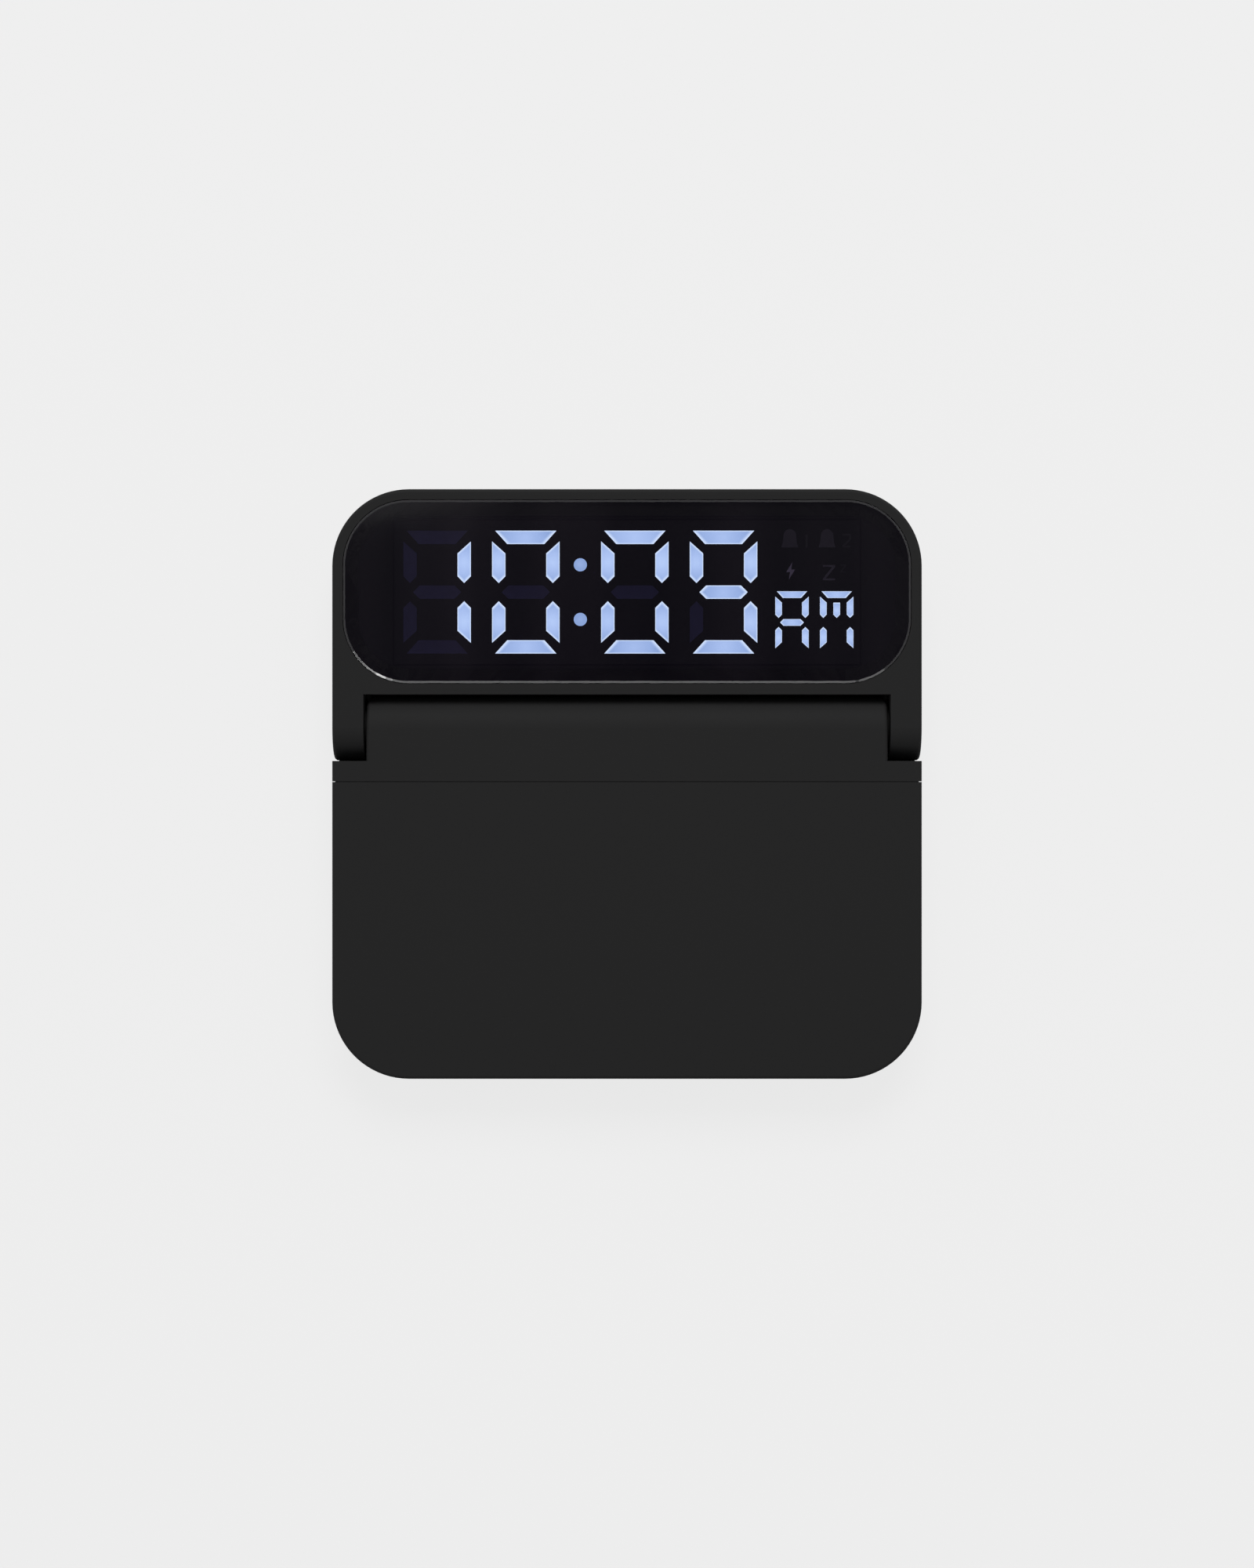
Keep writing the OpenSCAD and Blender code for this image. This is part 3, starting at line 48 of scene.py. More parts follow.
class Signal:
    """A shader socket: its operators add Math nodes, and node() adds any other node to its tree."""

    def __init__(self, tree, socket=None):
        self.tree = tree
        self.socket = socket

    def plug(self, target, value):
        """Links a signal to a socket, or sets a plain value on it."""
        if isinstance(value, Signal):
            self.tree.links.new(value.socket, target)
        else:
            target.default_value = value

    def node(self, kind, settings=None, sockets=None, out=0):
        """Makes a node, sets its settings and then its sockets, and returns one of its outputs."""
        made = self.tree.nodes.new("ShaderNode" + kind)
        for name, value in (settings or {}).items():
            if name == "stops":
                ramp = made.color_ramp.elements
                while len(ramp) < len(value):
                    ramp.new(1.0)
                for stop, (position, colour) in zip(ramp, value):
                    stop.position = position
                    stop.color = (*colour, 1.0)
            else:
                setattr(made, name, value)
        for name, value in (sockets or {}).items():
            self.plug(made.inputs[name], value)
        return Signal(self.tree, made.outputs[out])

    def math(self, operation, first, second):
        """A Math node of two signals or numbers."""
        return self.node("Math", {"operation": operation}, {0: first, 1: second})

    def __add__(self, other):
        return self.math("ADD", self, other)

    def __radd__(self, other):
        return self.math("ADD", other, self)

    def __sub__(self, other):
        return self.math("SUBTRACT", self, other)

    def __rsub__(self, other):
        return self.math("SUBTRACT", other, self)

    def __mul__(self, other):
        return self.math("MULTIPLY", self, other)

    def __rmul__(self, other):
        return self.math("MULTIPLY", other, self)


def bare_finish(name, constants):
    """A material with one Principled shader; gives it, its shader and Object coordinates."""
    material = bpy.data.materials.new(name)
    material.use_nodes = True
    tree = material.node_tree
    shader = tree.nodes["Principled BSDF"]
    for socket, value in constants.items():
        shader.inputs[socket].default_value = value
    return material, shader, Signal(tree).node("TexCoord", out="Object")


def feed(place, shader, links):
    """Links signals to the shader's sockets by name."""
    for socket, signal in links.items():
        place.plug(shader.inputs[socket], signal)


def grain(place, cells, detail=2.0):
    """Noise from 0 to 1, about 0.5 on average, with this many cells to the metre."""
    return place.node("TexNoise", None, {"Vector": place, "Scale": cells, "Detail": detail})


def tint(place, share, first, second):
    """Colour that goes from the first to the second, numbers or a signal, with the share."""
    first, second = (end if isinstance(end, Signal) else (*end, 1.0) for end in (first, second))
    return place.node("Mix", {"data_type": "RGBA"}, {0: share, 6: first, 7: second}, out=2)


def relief(place, height, depth, strength):
    """Normal of a surface that stands out by the height times the depth in metres."""
    return place.node("Bump", None, {"Strength": strength, "Distance": depth, "Height": height})


def dress(material, *nodes):
    """Gives CAD nodes a material."""
    for name in nodes:
        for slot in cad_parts[name].material_slots:
            slot.material = material


def moulded_plastic(name, dark, light, roughness, specular, cells=5200.0, depth=1.2e-5):
    """Moulded plastic: a spark texture in the relief, and slow changes of colour and gloss.

    The texture has this many cells to the metre, and its pits this depth in metres.
    """
    cloud_share = 0.7
    gloss_change = 0.1
    material, shader, place = bare_finish(name, {"Specular IOR Level": specular})
    texture = grain(place, cells, detail=3.0)
    cloud = grain(place, cells=60.0)
    mottle = cloud_share * cloud + (1 - cloud_share) * texture
    feed(place, shader, {
        "Base Color": tint(place, mottle, dark, light),
        "Roughness": roughness - gloss_change / 2 + gloss_change * cloud,
        "Normal": relief(place, texture, depth, strength=0.6),
    })
    return material


case_plastic = moulded_plastic(
    "case_plastic", (0.0117, 0.0117, 0.0118), (0.0141, 0.0141, 0.0143), roughness=0.72, specular=0.1)
dress(case_plastic, "base_tray")

# Base feet: two strips of black silicone rubber glued into shallow seats under the tray. They are
# cut from extruded sheet, so a fine drawn line runs along them under a chalky bloom.
foot_rubber, shader, place = bare_finish("foot_rubber", {"Specular IOR Level": 0.3})
drawn_lines = place.node("TexWave", {"bands_direction": "Y"}, {
    "Vector": place, "Scale": 900.0, "Distortion": 0.4})
bloom = grain(place, cells=450.0, detail=4.0)
feed(place, shader, {
    "Base Color": tint(place, bloom, (0.018, 0.018, 0.019), (0.028, 0.028, 0.029)),
    "Roughness": 0.78 + 0.14 * bloom,
    "Normal": relief(place, drawn_lines + 0.4 * bloom, depth=1.5e-5, strength=0.5),
})
dress(foot_rubber, "base_feet")

# Charger board: glass-epoxy laminate under green solder mask, held on four posts by small screws.
# It carries the controller chip, a shielded power inductor, four ceramic capacitors and the white
# nylon connector of the lead that feeds the display.
board_laminate, shader, place = bare_finish("board_laminate", {"Specular IOR Level": 0.5})
weave = place.node("TexBrick", {"offset": 0.5}, {
    "Vector": place, "Scale": 1800.0, "Mortar Size": 0.03}, out="Fac")
tracks = place.node("TexBrick", {"offset": 0.25}, {
    "Vector": place, "Scale": 260.0, "Mortar Size": 0.035,
    "Brick Width": 2.4, "Row Height": 0.55}, out="Fac")
feed(place, shader, {
    "Base Color": tint(place, tracks, (0.018, 0.095, 0.045), (0.035, 0.16, 0.075)),
    "Roughness": 0.32 + 0.12 * weave,
    "Normal": relief(place, tracks + 0.2 * weave, depth=2.0e-5, strength=0.5),
})
dress(board_laminate, "charger_board", "display_board")

chip_resin = moulded_plastic(
    "chip_resin", (0.011, 0.011, 0.012), (0.02, 0.02, 0.021), roughness=0.5, specular=0.4,
    cells=9000.0, depth=8.0e-6)
dress(chip_resin, "controller_chip", "power_inductor")

capacitor_ceramic = moulded_plastic(
    "capacitor_ceramic", (0.40, 0.28, 0.17), (0.52, 0.38, 0.24), roughness=0.45, specular=0.5,
    cells=3000.0)
dress(capacitor_ceramic, "resonant_capacitors")

plug_nylon = moulded_plastic(
    "plug_nylon", (0.62, 0.59, 0.50), (0.72, 0.69, 0.60), roughness=0.42, specular=0.5,
    cells=2500.0, depth=6.0e-6)
dress(plug_nylon, "board_connector")


def drawn_steel(name, dark, light, roughness, line_cells=2600.0, turned=False):
    """Plated metal: a mottled plating over fine tool lines, which are rings where it was turned."""
    turned_rings = {"wave_type": "RINGS", "rings_direction": "X"}
    material, shader, place = bare_finish(name, {"Metallic": 1.0})
    lines = place.node("TexWave", turned_rings if turned else {"bands_direction": "DIAGONAL"}, {
        "Vector": place, "Scale": line_cells, "Distortion": 3.0, "Detail": 3.0})
    mottle = grain(place, cells=700.0, detail=4.0)
    feed(place, shader, {
        "Base Color": tint(place, mottle, dark, light),
        "Roughness": roughness + 0.1 * lines + 0.08 * mottle,
        "Normal": relief(place, lines, depth=3.0e-6, strength=0.4),
    })
    return material


screw_steel = drawn_steel("screw_steel", (0.26, 0.26, 0.27), (0.40, 0.40, 0.41), roughness=0.3)
dress(screw_steel, "board_screws")

# Power inlet: an oval power receptacle soldered to the board's edge behind an opening in the left
# wall. Its shell is drawn from nickel-plated steel, and the black tongue inside carries twelve
# gold-plated contacts on each of its two faces.
inlet_steel = drawn_steel("inlet_steel", (0.52, 0.51, 0.49), (0.66, 0.65, 0.63), roughness=0.24)
dress(inlet_steel, "usb_shell")
dress(chip_resin, "usb_tongue")


def new_object(name, data):
    """Puts a mesh, a lamp or a camera into the scene as an object at the origin."""
    made = bpy.data.objects.new(name, data)
    bpy.context.scene.collection.objects.link(made)
    return made


def add_piece(name, points, quads, material, body):
    """Makes a mesh piece from points and quads, and lets it ride on a body."""
    mesh = bpy.data.meshes.new(name)
    mesh.from_pydata(points.tolist(), [], quads.tolist())
    mesh.materials.append(material)
    piece = new_object(name, mesh)
    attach(piece, body)
    return piece


def node_box(name):
    """Lowest and highest corner of a CAD node, as arrays."""
    return (np.array(corner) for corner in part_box(name))


def level_points(x, y, height):
    """Points of a grid that lies level at this height."""
    return np.stack([x, y, np.full_like(x, height)], -1).reshape(-1, 3)


def grid_numbers(rows, columns, closed, first=0):
    """Numbers of a grid's points, row by row; a closed grid has its first column again at the end."""
    numbers = first + np.arange(rows * columns).reshape(rows, columns)
    return np.hstack([numbers, numbers[:, :1]]) if closed else numbers


def grid_quads(numbers):
    """Quads between the neighbouring points of a grid, from the grid of their numbers."""
    corners = [numbers[:-1, :-1], numbers[1:, :-1], numbers[1:, 1:], numbers[:-1, 1:]]
    return np.stack(corners, -1).reshape(-1, 4)


def sheet_quads(rows, columns, closed):
    """Quads of a thin sheet of rows by columns points, whose underside follows in the list of points.

    They are the top's quads, the same turned over for the underside, and a wall along each open edge.
    """
    numbers = grid_numbers(rows, columns, closed)
    top = grid_quads(numbers)
    edges = [numbers[0], numbers[-1][::-1]]
    if not closed:
        edges += [numbers[:, 0][::-1], numbers[:, -1]]
    under = rows * columns
    walls = [
        np.stack([edge[:-1], edge[1:], edge[1:] + under, edge[:-1] + under], -1) for edge in edges]
    return np.vstack([top, top[:, ::-1] + under, *walls])


contact_gold = drawn_steel("contact_gold", (0.78, 0.52, 0.18), (0.90, 0.64, 0.26), roughness=0.2)
contact_count = 12
contact_pitch = 0.0005
contact_width = 0.00026
contact_length = 0.0035
contact_thickness = 0.00002
contact_inset = 0.0004
nose_length = 0.00013
nose_steps = 5
nose_tip_angle = 0.15
tongue_low, tongue_high = node_box("usb_tongue")


def contact_plan():
    """One contact seen from above: u runs along it and v across.

    Its front end is a nose, where half the width follows a quarter of an ellipse.
    """
    nose = nose_length * (1 - np.cos(np.linspace(nose_tip_angle, np.pi / 2, nose_steps)))
    u = np.append(nose, contact_length)
    half = np.full(len(u), contact_width / 2)
    half[:nose_steps] *= np.sqrt(1 - (1 - nose / nose_length) ** 2)
    v = np.array([-1.0, 1.0])
    return tongue_low[0] + contact_inset + u[:, None] + 0 * v, half[:, None] * v


contact_x, contact_y = contact_plan()
contact_row = contact_pitch * (np.arange(contact_count) - (contact_count - 1) / 2)
contact_row += (tongue_low[1] + tongue_high[1]) / 2
contact_points = np.vstack([
    level_points(contact_x, middle + out * contact_y, face + out * rise)
    for face, out in ((tongue_high[2], 1), (tongue_low[2], -1))
    for middle in contact_row
    for rise in (contact_thickness, 0.0)
])
contact_starts = np.arange(0, len(contact_points), 2 * contact_x.size)
contact_quads = contact_starts[:, None, None] + sheet_quads(*contact_x.shape, closed=False)[:, ::-1]
add_piece(
    "usb_contacts", contact_points, contact_quads.reshape(-1, 4), contact_gold, "base")

# Ferrite and coil: a dull grey sintered ferrite tile glued under the flat charging coil, which is
# wound from enamelled copper wire in one layer. Its two ends drop to the charger board.
ferrite = moulded_plastic(
    "ferrite", (0.038, 0.038, 0.042), (0.062, 0.061, 0.064), roughness=0.62, specular=0.4,
    cells=1500.0, depth=2.0e-5)
dress(ferrite, "ferrite_shield")

copper_wire, shader, place = bare_finish(
    "copper_wire", {"Metallic": 1.0, "Coat Weight": 0.6, "Coat Roughness": 0.15})
from_coil_middle = place.node("Mapping", None, {"Vector": place, "Location": (0.0, 0.025, 0.0)})
strands = place.node("TexWave", {"wave_type": "RINGS", "rings_direction": "Z"}, {
    "Vector": from_coil_middle, "Scale": 1500.0})
enamel = grain(place, cells=260.0, detail=3.0)
feed(place, shader, {
    "Base Color": tint(place, enamel, (0.62, 0.25, 0.10), (0.80, 0.38, 0.17)),
    "Roughness": 0.26 + 0.12 * enamel,
    "Normal": relief(place, strands, depth=2.0e-5, strength=0.6),
})
dress(copper_wire, "charging_coil", "coil_leads")

# Charging plate: the upper half of the base, moulded in the same coated plastic. A phone lies on its
# bare flat top, over the coil, and four screws from below hold it to the tray.
dress(case_plastic, "charging_plate")

# Hinge: a steel pin keyed into the right arm turns in the barrel against a spring clip, and a ring
# keeps it in. A hollow turned trunnion carries the left arm and lets the lead through, and black
# washers take up the play at both arms.
hinge_steel = drawn_steel(
    "hinge_steel", (0.46, 0.46, 0.47), (0.60, 0.60, 0.61), roughness=0.28, line_cells=1800.0,
    turned=True)
dress(hinge_steel, "friction_clip", "cable_trunnion", "hinge_pin", "pin_ring")
# Washer colour is black nylon made darker still, as painted shade in the narrow gaps beside the arms.
washer_nylon_painted_shade = moulded_plastic(
    "washer_nylon_painted_shade", (0.004, 0.004, 0.004), (0.007, 0.007, 0.007), roughness=0.75, specular=0.1)
dress(washer_nylon_painted_shade, "hinge_washers")

# Hinge cover: the strip behind the seam, moulded in one with the upper half of the hinge barrel. It
# closes over the pin and the clip, and its lip passes under the charging plate's rear edge.
dress(case_plastic, "hinge_cover")

# Lead: a thin black jacketed lead from the charger board through the trunnion to the display board.
# It is drawn as two pieces that meet on the hinge axis, where the real one twists.
lead_jacket = moulded_plastic(
    "lead_jacket", (0.015, 0.015, 0.016), (0.024, 0.024, 0.025), roughness=0.5, specular=0.4,
    cells=2200.0, depth=8.0e-6)
dress(lead_jacket, "base_lead", "head_lead")

# Rear cover: the back of the display head, in the coated plastic of the base, with seven holes over
# the sounder, four openings for the buttons and one rubber strip that the head rests on.
dress(case_plastic, "rear_cover")
dress(foot_rubber, "head_foot")

# Buttons: four flush keys moulded in black plastic, a shade glossier than the cover from handling.
# Each has a flange inside the cover, and a small pad-printed pale mark on its face.
button_plastic = moulded_plastic(
    "button_plastic", (0.0145, 0.0145, 0.0148), (0.0195, 0.0195, 0.02), roughness=0.45, specular=0.3)
dress(button_plastic, "set_button", "up_button", "down_button", "alarm_button")

mark_ink = moulded_plastic(
    "mark_ink", (0.42, 0.42, 0.43), (0.55, 0.55, 0.56), roughness=0.5, specular=0.4,
    cells=8000.0, depth=3.0e-6)
ink_thickness = 0.00003
mark_size = 0.0011


def arrow_mark(up):
    """Triangle: half its width shrinks in a straight line as t runs from foot to blunt tip."""
    tip_half = 0.03
    height = 1.4
    foot = -0.6
    t = np.linspace(0, 1, 9)[:, None]
    s = np.linspace(-1, 1, 5)
    return mark_size * s * (1 - (1 - tip_half) * t), mark_size * up * (foot + height * t) + 0 * s


def bell_mark():
    """Bell: half its width is a quarter circle at the crown, and flares with t to the sixth power.

    Below the rim, where t passes 1, half the width is that of a half-round clapper.
    """
    height = 1.6
    bell_rows, clapper_rows = 21, 7
    crown_half, crown_depth = 0.5, 0.35
    taper, flare = 0.16, 0.28
    clapper_half, clapper_drop, clapper_tip = 0.3, 0.22, 0.002
    bell_t = np.linspace(0, 1, bell_rows) ** 1.5
    t = np.append(bell_t, 1 + np.linspace(0, clapper_drop, clapper_rows))[:, None]
    s = np.linspace(-1, 1, 7)
    crown = crown_half * np.sqrt(1 - (1 - np.minimum(t / crown_depth, 1)) ** 2)
    skirt = taper * t + flare * t ** 6
    clapper = clapper_half * np.sqrt(np.maximum(1 - ((t - 1) / clapper_drop) ** 2, clapper_tip))
    half = np.where(np.arange(len(t))[:, None] < bell_rows, crown + skirt, clapper)
    return mark_size * s * half, mark_size * (1 - height * t) + 0 * s


def wheel_mark():
    """Gear: an annulus whose outer radius steps smoothly up and down, eight times round."""
    teeth = 8
    tooth_middle, tooth_half, tooth_steepness = 0.88, 0.14, 4
    bore = 0.42
    angle = np.linspace(0, 2 * np.pi, 96, endpoint=False)
    outer = tooth_middle + tooth_half * np.tanh(tooth_steepness * np.cos(teeth * angle))
    radius = mark_size * (bore + (outer - bore) * np.linspace(0, 1, 3)[:, None])
    return radius * np.cos(angle), radius * np.sin(angle)


for key, (mark_x, mark_y), closed in (
        ("set_button", wheel_mark(), True), ("up_button", arrow_mark(1), False),
        ("down_button", arrow_mark(-1), False), ("alarm_button", bell_mark(), False)):
    key_low, key_high = node_box(key)
    key_x, key_y, _ = (key_low + key_high) / 2
    mark_points = np.vstack([
        level_points(key_x + mark_x, key_y + mark_y, height)
        for height in (key_low[2] - ink_thickness, key_low[2])
    ])
    add_piece(
        key.replace("button", "mark"), mark_points, sheet_quads(*mark_x.shape, closed),
        mark_ink, key)

# Display board: the second laminate board, on posts behind the display. The clock chip, its crystal
# can, the sounder, the four push switches, the lead's connector and the backup cell under its steel
# strap are soldered to it.
dress(chip_resin, "clock_chip", "sounder", "push_switches")
part_steel = drawn_steel("part_steel", (0.55, 0.55, 0.54), (0.68, 0.68, 0.67), roughness=0.22)
dress(part_steel, "clock_crystal", "backup_cell", "cell_clip")
dress(plug_nylon, "display_connector")
light_chip = moulded_plastic(
    "light_chip", (0.72, 0.60, 0.20), (0.85, 0.74, 0.32), roughness=0.3, specular=0.5,
    cells=4000.0, depth=5.0e-6)
dress(light_chip, "segment_lights")

# Light box: a black block over the display board, its face printed matt black, with one well for each
# stroke. Clouded resin in a well glows from the light chip under its middle, so that a stroke is
# brightest there and along its rim, and no two are quite alike. Strokes that are off stay dark.
light_box_plastic = moulded_plastic(
    "light_box_plastic", (0.006, 0.005, 0.007), (0.009, 0.008, 0.011), roughness=0.6, specular=0.2)
dress(light_box_plastic, "light_box")

chip_dimness = 0.14
stroke_change = 0.8
clouding_change = 0.08
segment_lit, shader, place = bare_finish("segment_lit", {
    "Base Color": (0.02, 0.025, 0.04, 1.0), "Specular IOR Level": 0.1, "Emission Strength": 4.0})
away, edge = (
    place.node("Attribute", {"attribute_name": name}, out="Fac") for name in ("away", "edge"))
dimness = chip_dimness + (1 - chip_dimness) * away
dimness += stroke_change * (grain(place, cells=55.0) - 0.5)
dimness += clouding_change * (grain(place, cells=900.0) - 0.5)
glow = place.node("ValToRGB", {"stops": [
    (0.0, (0.52, 0.66, 0.98)),
    (0.14, (0.46, 0.60, 0.93)),
    (0.45, (0.40, 0.53, 0.865)),
    (0.9, (0.30, 0.42, 0.74)),
    (1.0, (0.255, 0.37, 0.67)),
]}, {0: dimness})
rim_share = place.node("MapRange", {"interpolation_type": "SMOOTHSTEP"}, {
    "Value": edge, "From Min": 0.78, "From Max": 1.0})
feed(place, shader, {
    "Emission Color": tint(place, rim_share, glow, (0.64, 0.76, 1.0)),
    "Roughness": 0.5 + 0.1 * away,
})

segment_unlit, shader, place = bare_finish("segment_unlit", {"Specular IOR Level": 0.1})
clouding = grain(place, cells=500.0, detail=3.0)
feed(place, shader, {
    "Base Color": tint(place, clouding, (0.078, 0.072, 0.200), (0.098, 0.091, 0.257)),
    "Roughness": 0.6 + 0.1 * clouding,
})


def tile_outlines(node):
    """Outlines of a node's tiles, read from its mesh.

    Equal points are made one, the lowest label spreads along the triangles' edges until each tile has
    one label, and the top points of a tile are put in order of their angle round its middle.
    """
    equal_digits = 7
    top_slack = 1e-6
    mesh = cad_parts[node].data
    flat = np.empty(3 * len(mesh.vertices))
    mesh.vertices.foreach_get("co", flat)
    corners = np.empty(len(mesh.loops), int)
    mesh.loops.foreach_get("vertex_index", corners)
    points, same = np.unique(np.round(flat.reshape(-1, 3), equal_digits), axis=0, return_inverse=True)
    triangles = same.reshape(-1)[corners].reshape(-1, 3)
    label = np.arange(len(points))
    settled = False
    while not settled:
        before = label.copy()
        lowest = label[triangles].min(axis=1)
        for corner in triangles.T:
            np.minimum.at(label, corner, lowest)
        settled = np.array_equal(before, label)
    top = points[:, 2].max()
    outlines = []
    for tile in np.unique(label):
        rim = points[(label == tile) & (points[:, 2] > top - top_slack), :2]
        spoke = rim - (rim.min(axis=0) + rim.max(axis=0)) / 2
        outlines.append(rim[np.argsort(np.arctan2(spoke[:, 1], spoke[:, 0]))])
    return outlines, points[:, 2].min(), top


def add_tiles(name, node, material):
    """Resin tiles in a node's outlines, each a profile carried round its outline.

    The profile starts at the middle of the face, which the cured resin leaves sunk by a square law,
    rises to the rim, goes down the wall and closes at the middle of the back. The attribute away is
    the distance from the middle over the tile's longest reach, and starts higher on a tile that lies
    flat or is as wide as high, where the light chip under it is weaker. The attribute edge is the
    share of the way from the middle to the rim, and is 0 all over a round dot.
    """
    sink = 0.00006
    rim_points = 40
    flat_start, dot_start = 0.33, 0.85
    dot_narrowest, dot_widest = 0.7, 1.4
    reach = np.array([0.02, 0.25, 0.5, 0.7, 0.85, 0.94, 1.0, 1.0, 0.02])
    outlines, bottom, top = tile_outlines(node)
    level = top - sink * (1 - reach ** 2)
    level[-2:] = bottom
    points, quads, away, edge = [], [], [], []
    for outline in outlines:
        parts = max(1, rim_points // len(outline))
        share = (np.arange(parts) / parts)[None, :, None]
        side_start, side_end = outline[:, None], np.roll(outline, -1, axis=0)[:, None]
        rim = (side_start * (1 - share) + side_end * share).reshape(-1, 2)
        middle = (outline.min(axis=0) + outline.max(axis=0)) / 2
        flat = middle + reach[:, None, None] * (rim - middle)
        span = np.linalg.norm(flat - middle, axis=-1)
        grid = np.concatenate([flat, np.broadcast_to(level[:, None, None], (*span.shape, 1))], -1)
        quads.append(grid_quads(grid_numbers(*span.shape, closed=True, first=sum(map(len, points)))))
        points.append(grid.reshape(-1, 3))
        width, height = np.ptp(outline, axis=0)
        is_dot = dot_narrowest < width / height < dot_widest
        start = flat_start * (width > dot_widest * height) + dot_start * is_dot
        away.append((start + (1 - start) * span / span.max()).reshape(-1))
        edge.append((np.broadcast_to(reach[:, None], span.shape) * (not is_dot)).reshape(-1))
    piece = add_piece(name, np.vstack(points), np.vstack(quads), material, "head")
    for attribute, values in (("away", away), ("edge", edge)):
        layer = piece.data.attributes.new(attribute, "FLOAT", "POINT")
        layer.data.foreach_set("value", np.concatenate(values))
    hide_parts(node)


add_tiles("lit_tiles", "lit_segments", segment_lit)
add_tiles("unlit_tiles", "unlit_segments", segment_unlit)

# Status symbols: two bells, each with its number, a bolt and a sleep sign, die cut from thin grey
# foil and stuck to the light box's face. The bolt is the palest, and the numbers and the small
# letter of the sleep sign are the darkest.
column_shares = np.array([0.29, 0.45, 0.82])
sign_paleness, bolt_paleness, sleep_paleness = 0.13, 0.85, 0.16
symbol_foil, shader, place = bare_finish("symbol_foil", {"Specular IOR Level": 0.1})
symbols_low, symbols_high = node_box("status_symbols")
symbol_x, symbol_y = (place.node("SeparateXYZ", None, {0: place}, out=axis) for axis in "XY")
column_ends = symbols_low[0] + (symbols_high - symbols_low)[0] * column_shares
past_bell, past_number, past_sleep = (
    place.math("GREATER_THAN", symbol_x, end) for end in column_ends.tolist())
lower_row = place.math("LESS_THAN", symbol_y, float(symbols_low[1] + symbols_high[1]) / 2)
small_signs = past_bell - past_number + past_sleep
row_paleness = bolt_paleness * (1 - past_bell) + sleep_paleness * (past_bell - past_sleep)
paleness = sign_paleness * (1 - small_signs) + lower_row * row_paleness
clouding = grain(place, cells=500.0, detail=3.0)
feed(place, shader, {
    "Base Color": tint(place, paleness + 0.04 * clouding, (0.056, 0.053, 0.062), (0.46, 0.38, 0.60)),
    "Roughness": 0.6 + 0.1 * clouding,
})
dress(symbol_foil, "status_symbols")

# Head frame: the front half of the display head with its two hinge arms, moulded in the coated
# plastic. Its deck holds the light box and the seat that the lens is taped into.
dress(case_plastic, "head_frame")

# Lens: a smoked acrylic sheet with a polished bevel, cut to a rounded oblong and fixed by a frame of
# black foam tape. It lets about a quarter of the display's light through and hides what is unlit, and
# faint streaks from its making run up and down in it.
lens_tape = moulded_plastic(
    "lens_tape", (0.007, 0.007, 0.007), (0.012, 0.012, 0.012), roughness=0.8, specular=0.2,
    cells=2500.0, depth=2.0e-5)
dress(lens_tape, "lens_tape")

smoked_lens, shader, place = bare_finish(
    "smoked_lens", {"IOR": 1.49, "Alpha": 0.5, "Specular IOR Level": 1.0})
drawn_out = place.node("Mapping", None, {"Vector": place, "Scale": (1.0, 0.06, 0.0)})
streaks = place.node("MapRange", None, {
    "Value": grain(drawn_out, cells=85.0, detail=1.0), "From Min": 0.3, "From Max": 0.7})
feed(place, shader, {
    "Base Color": tint(place, streaks, (0.0010, 0.0004, 0.0036), (0.0072, 0.0052, 0.0100)),
    "Roughness": 0.035 + 0.03 * streaks,
})
dress(smoked_lens, "display_lens")

# Screws: ten cross-head case screws of zinc-plated steel, sunk in counterbores under the base and in
# the back of the head.
dress(screw_steel, "base_screws", "head_screws")

# Floor: a disc of pale matt paper under the clock, so wide that it fades into the walls. It shows its
# own even tone, with the clock's shadow faint on it, and throws its light back as plain paper does.
floor_radius = 40.0
floor_rings, floor_spokes = 12, 64
middle_share = 0.02
paper_tone = 0.864
paper_share = 0.92
ring = floor_radius * np.linspace(middle_share, 1, floor_rings)[:, None] ** 2
turn = np.linspace(0, 2 * np.pi, floor_spokes, endpoint=False)
floor_points = level_points(ring * np.cos(turn), ring * np.sin(turn), 0.0)
floor_numbers = grid_numbers(floor_rings, floor_spokes, closed=True)
floor_faces = grid_quads(floor_numbers).tolist() + [floor_numbers[0, :-1].tolist()]
floor_mesh = bpy.data.meshes.new("floor")
floor_mesh.from_pydata(floor_points.tolist(), [], floor_faces)


def shown_rays(place):
    """1 on rays that show the studio, straight or in gloss or glass, and 0 on the rest."""
    straight, gloss, glass = (
        place.node("LightPath", out=f"Is {ray} Ray") for ray in ("Camera", "Glossy", "Transmission"))
    return straight + gloss + glass


floor_paint, shader, place = bare_finish(
    "floor_paint", {"Roughness": 0.9, "Specular IOR Level": 0.0})
feed(place, shader, {
    "Base Color": tint(place, grain(place, cells=3.0), (0.85, 0.85, 0.85), (0.86, 0.86, 0.86))})
even_tone = place.node("Emission", None, {"Color": (*(paper_tone,) * 3, 1.0)})
from_clock = place.node("VectorMath", {"operation": "LENGTH"}, {0: place}, out="Value")
even_share = place.node("MapRange", {"interpolation_type": "SMOOTHSTEP"}, {
    "Value": from_clock, "From Min": 0.12, "From Max": 0.9, "To Min": paper_share, "To Max": 1.0})
veil = place.node("MixShader", None, {
    0: even_share * shown_rays(place), 1: Signal(place.tree, shader.outputs[0]), 2: even_tone})
place.plug(place.tree.nodes["Material Output"].inputs["Surface"], veil)
floor_mesh.materials.append(floor_paint)
new_object("floor", floor_mesh)

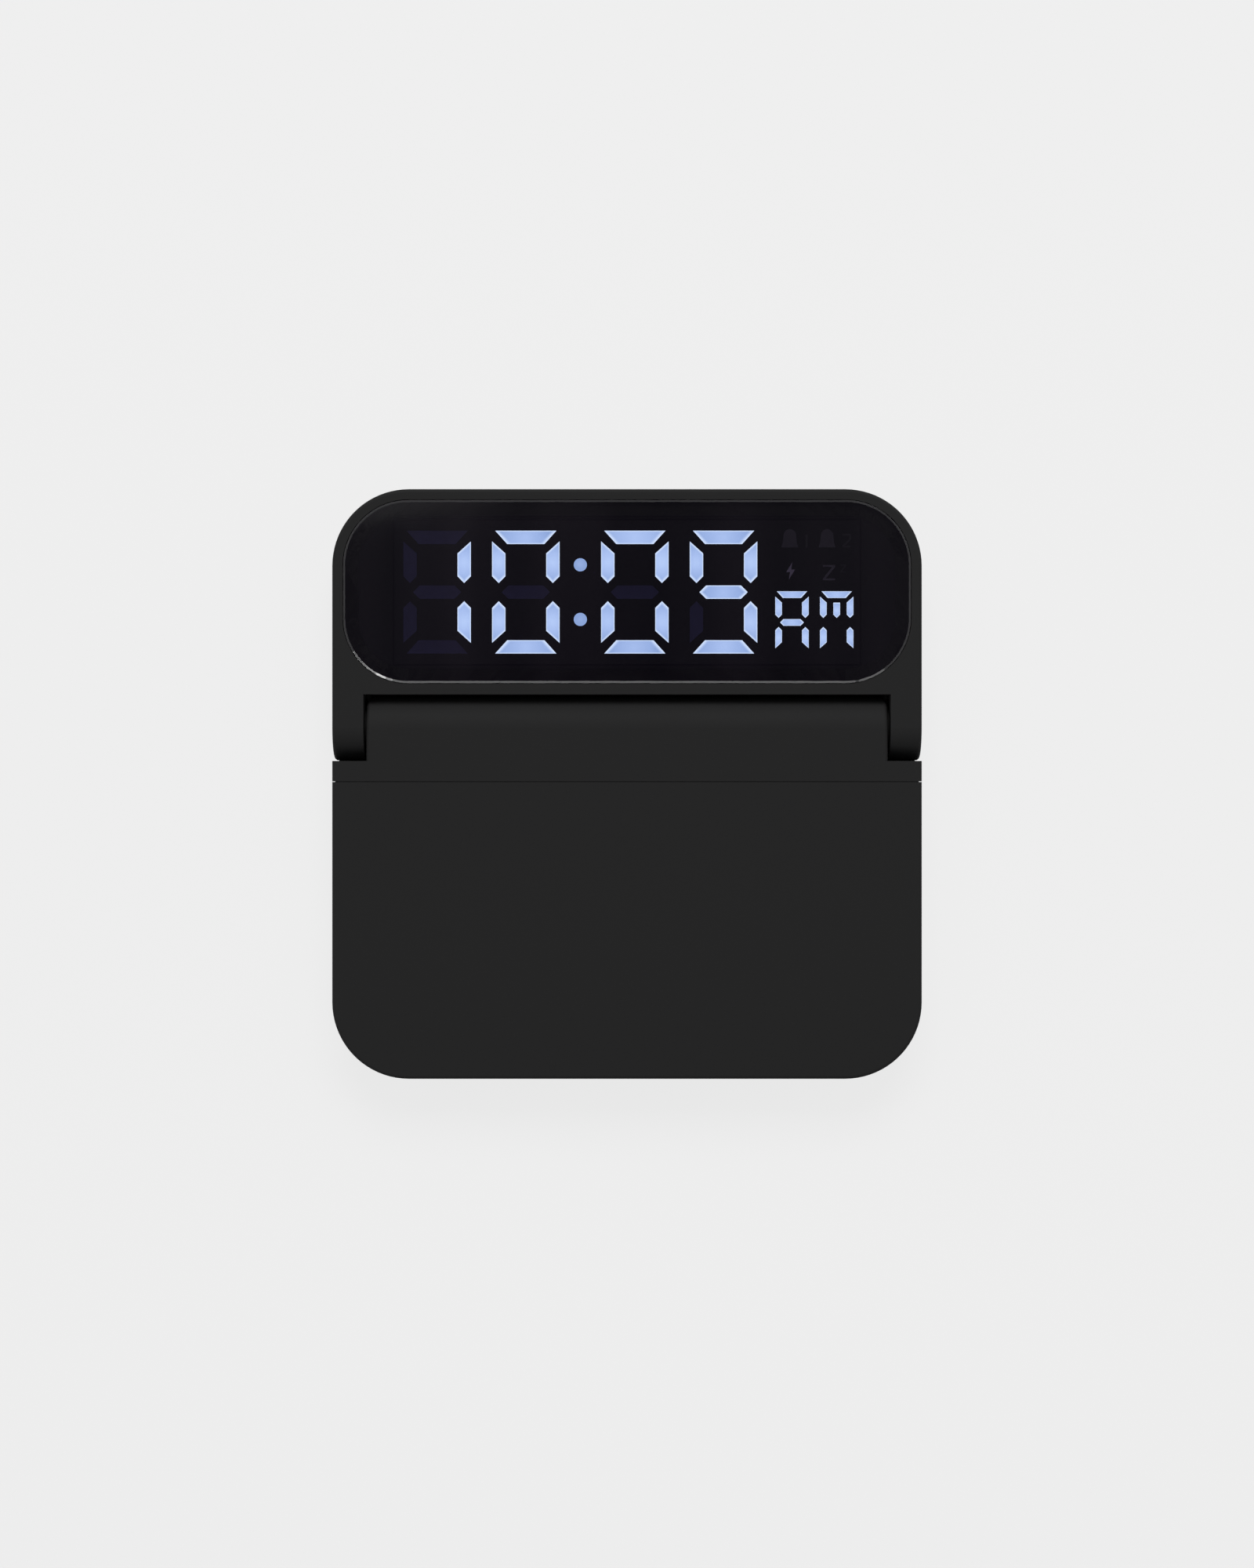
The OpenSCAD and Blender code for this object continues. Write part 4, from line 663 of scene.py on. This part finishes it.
# Studio: pale walls all round, and a dark ceiling that keeps the lens black from above. A soft box
# above and behind the clock lights it, with a weaker one on either side. Strips at the front and its
# two corners and a spark glint in the lens's bevel, and a card's edge shows in the lens's upper left.
wall_tone = 0.864
ceiling_tone = 0.035
wall_top = 0.87
side_light, rear_light = 0.32, 0.2
world = bpy.data.worlds.new("studio")
bpy.context.scene.world = world
world.use_nodes = True
backdrop = world.node_tree.nodes["Background"]
studio = Signal(world.node_tree)
direction = studio.node("TexCoord", out="Generated")
rearward, upward = (studio.node("SeparateXYZ", None, {0: direction}, out=axis) for axis in "YZ")
wall_share = studio.node("MapRange", None, {
    "Value": upward, "From Min": wall_top, "From Max": 1.0, "To Min": 1.0, "To Max": 0.0})
studio.plug(
    backdrop.inputs["Color"], tint(studio, wall_share, (ceiling_tone,) * 3, (wall_tone,) * 3))
lighting = side_light + rear_light * rearward
studio.plug(backdrop.inputs["Strength"], lighting + shown_rays(studio) * (1 - lighting))


def soft_box(name, location, width, height, watts, glint=False):
    """Oblong lamp that faces the clock, unseen by the camera itself.

    A glint shows in polished edges alone, as a small mirror set beside the clock does.
    """
    lamp = bpy.data.lights.new(name, "AREA")
    lamp.shape = "RECTANGLE"
    lamp.size = width
    lamp.size_y = height
    lamp.energy = watts
    box = new_object(name, lamp)
    box.location = location
    box.rotation_euler = box.location.to_track_quat("Z", "Y").to_euler()
    box.visible_camera = False
    box.visible_diffuse = not glint


soft_box("box_key", (0.03, 0.77, 0.93), width=0.7, height=0.55, watts=11.8)
soft_box("box_left", (-1.0, 0.35, 1.1), width=0.5, height=0.5, watts=1.0)
soft_box("box_right", (1.0, 0.35, 1.1), width=0.5, height=0.5, watts=1.0)
soft_box("strip_front", (-0.062, -1.0, 0.66), width=0.724, height=0.12, watts=0.543, glint=True)
soft_box("strip_left", (-0.697, -0.702, 0.62), width=0.807, height=0.14, watts=1.93, glint=True)
soft_box("spark_left", (-0.546, -0.817, 0.62), width=0.17, height=0.14, watts=0.73, glint=True)
soft_box("strip_right", (0.53, -0.826, 0.62), width=0.45, height=0.14, watts=0.35, glint=True)
soft_box("card_above", (-0.0432, 0.2285, 0.8), width=0.5, height=0.2, watts=0.1, glint=True)

# Camera: straight above the middle of the clock, with the display's top edge up. Its lens takes in
# the picture's height at the level of the charging plate.
picture_height = 0.2656
distance = 0.5
sensor = 36.0
camera = new_object("camera", bpy.data.cameras.new("camera"))
camera.data.sensor_width = sensor
camera.data.lens = sensor * distance / picture_height
camera.location = (0.0, 0.0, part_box("charging_plate")[1][2] + distance)
bpy.context.scene.camera = camera
bpy.context.scene.view_settings.view_transform = "Standard"
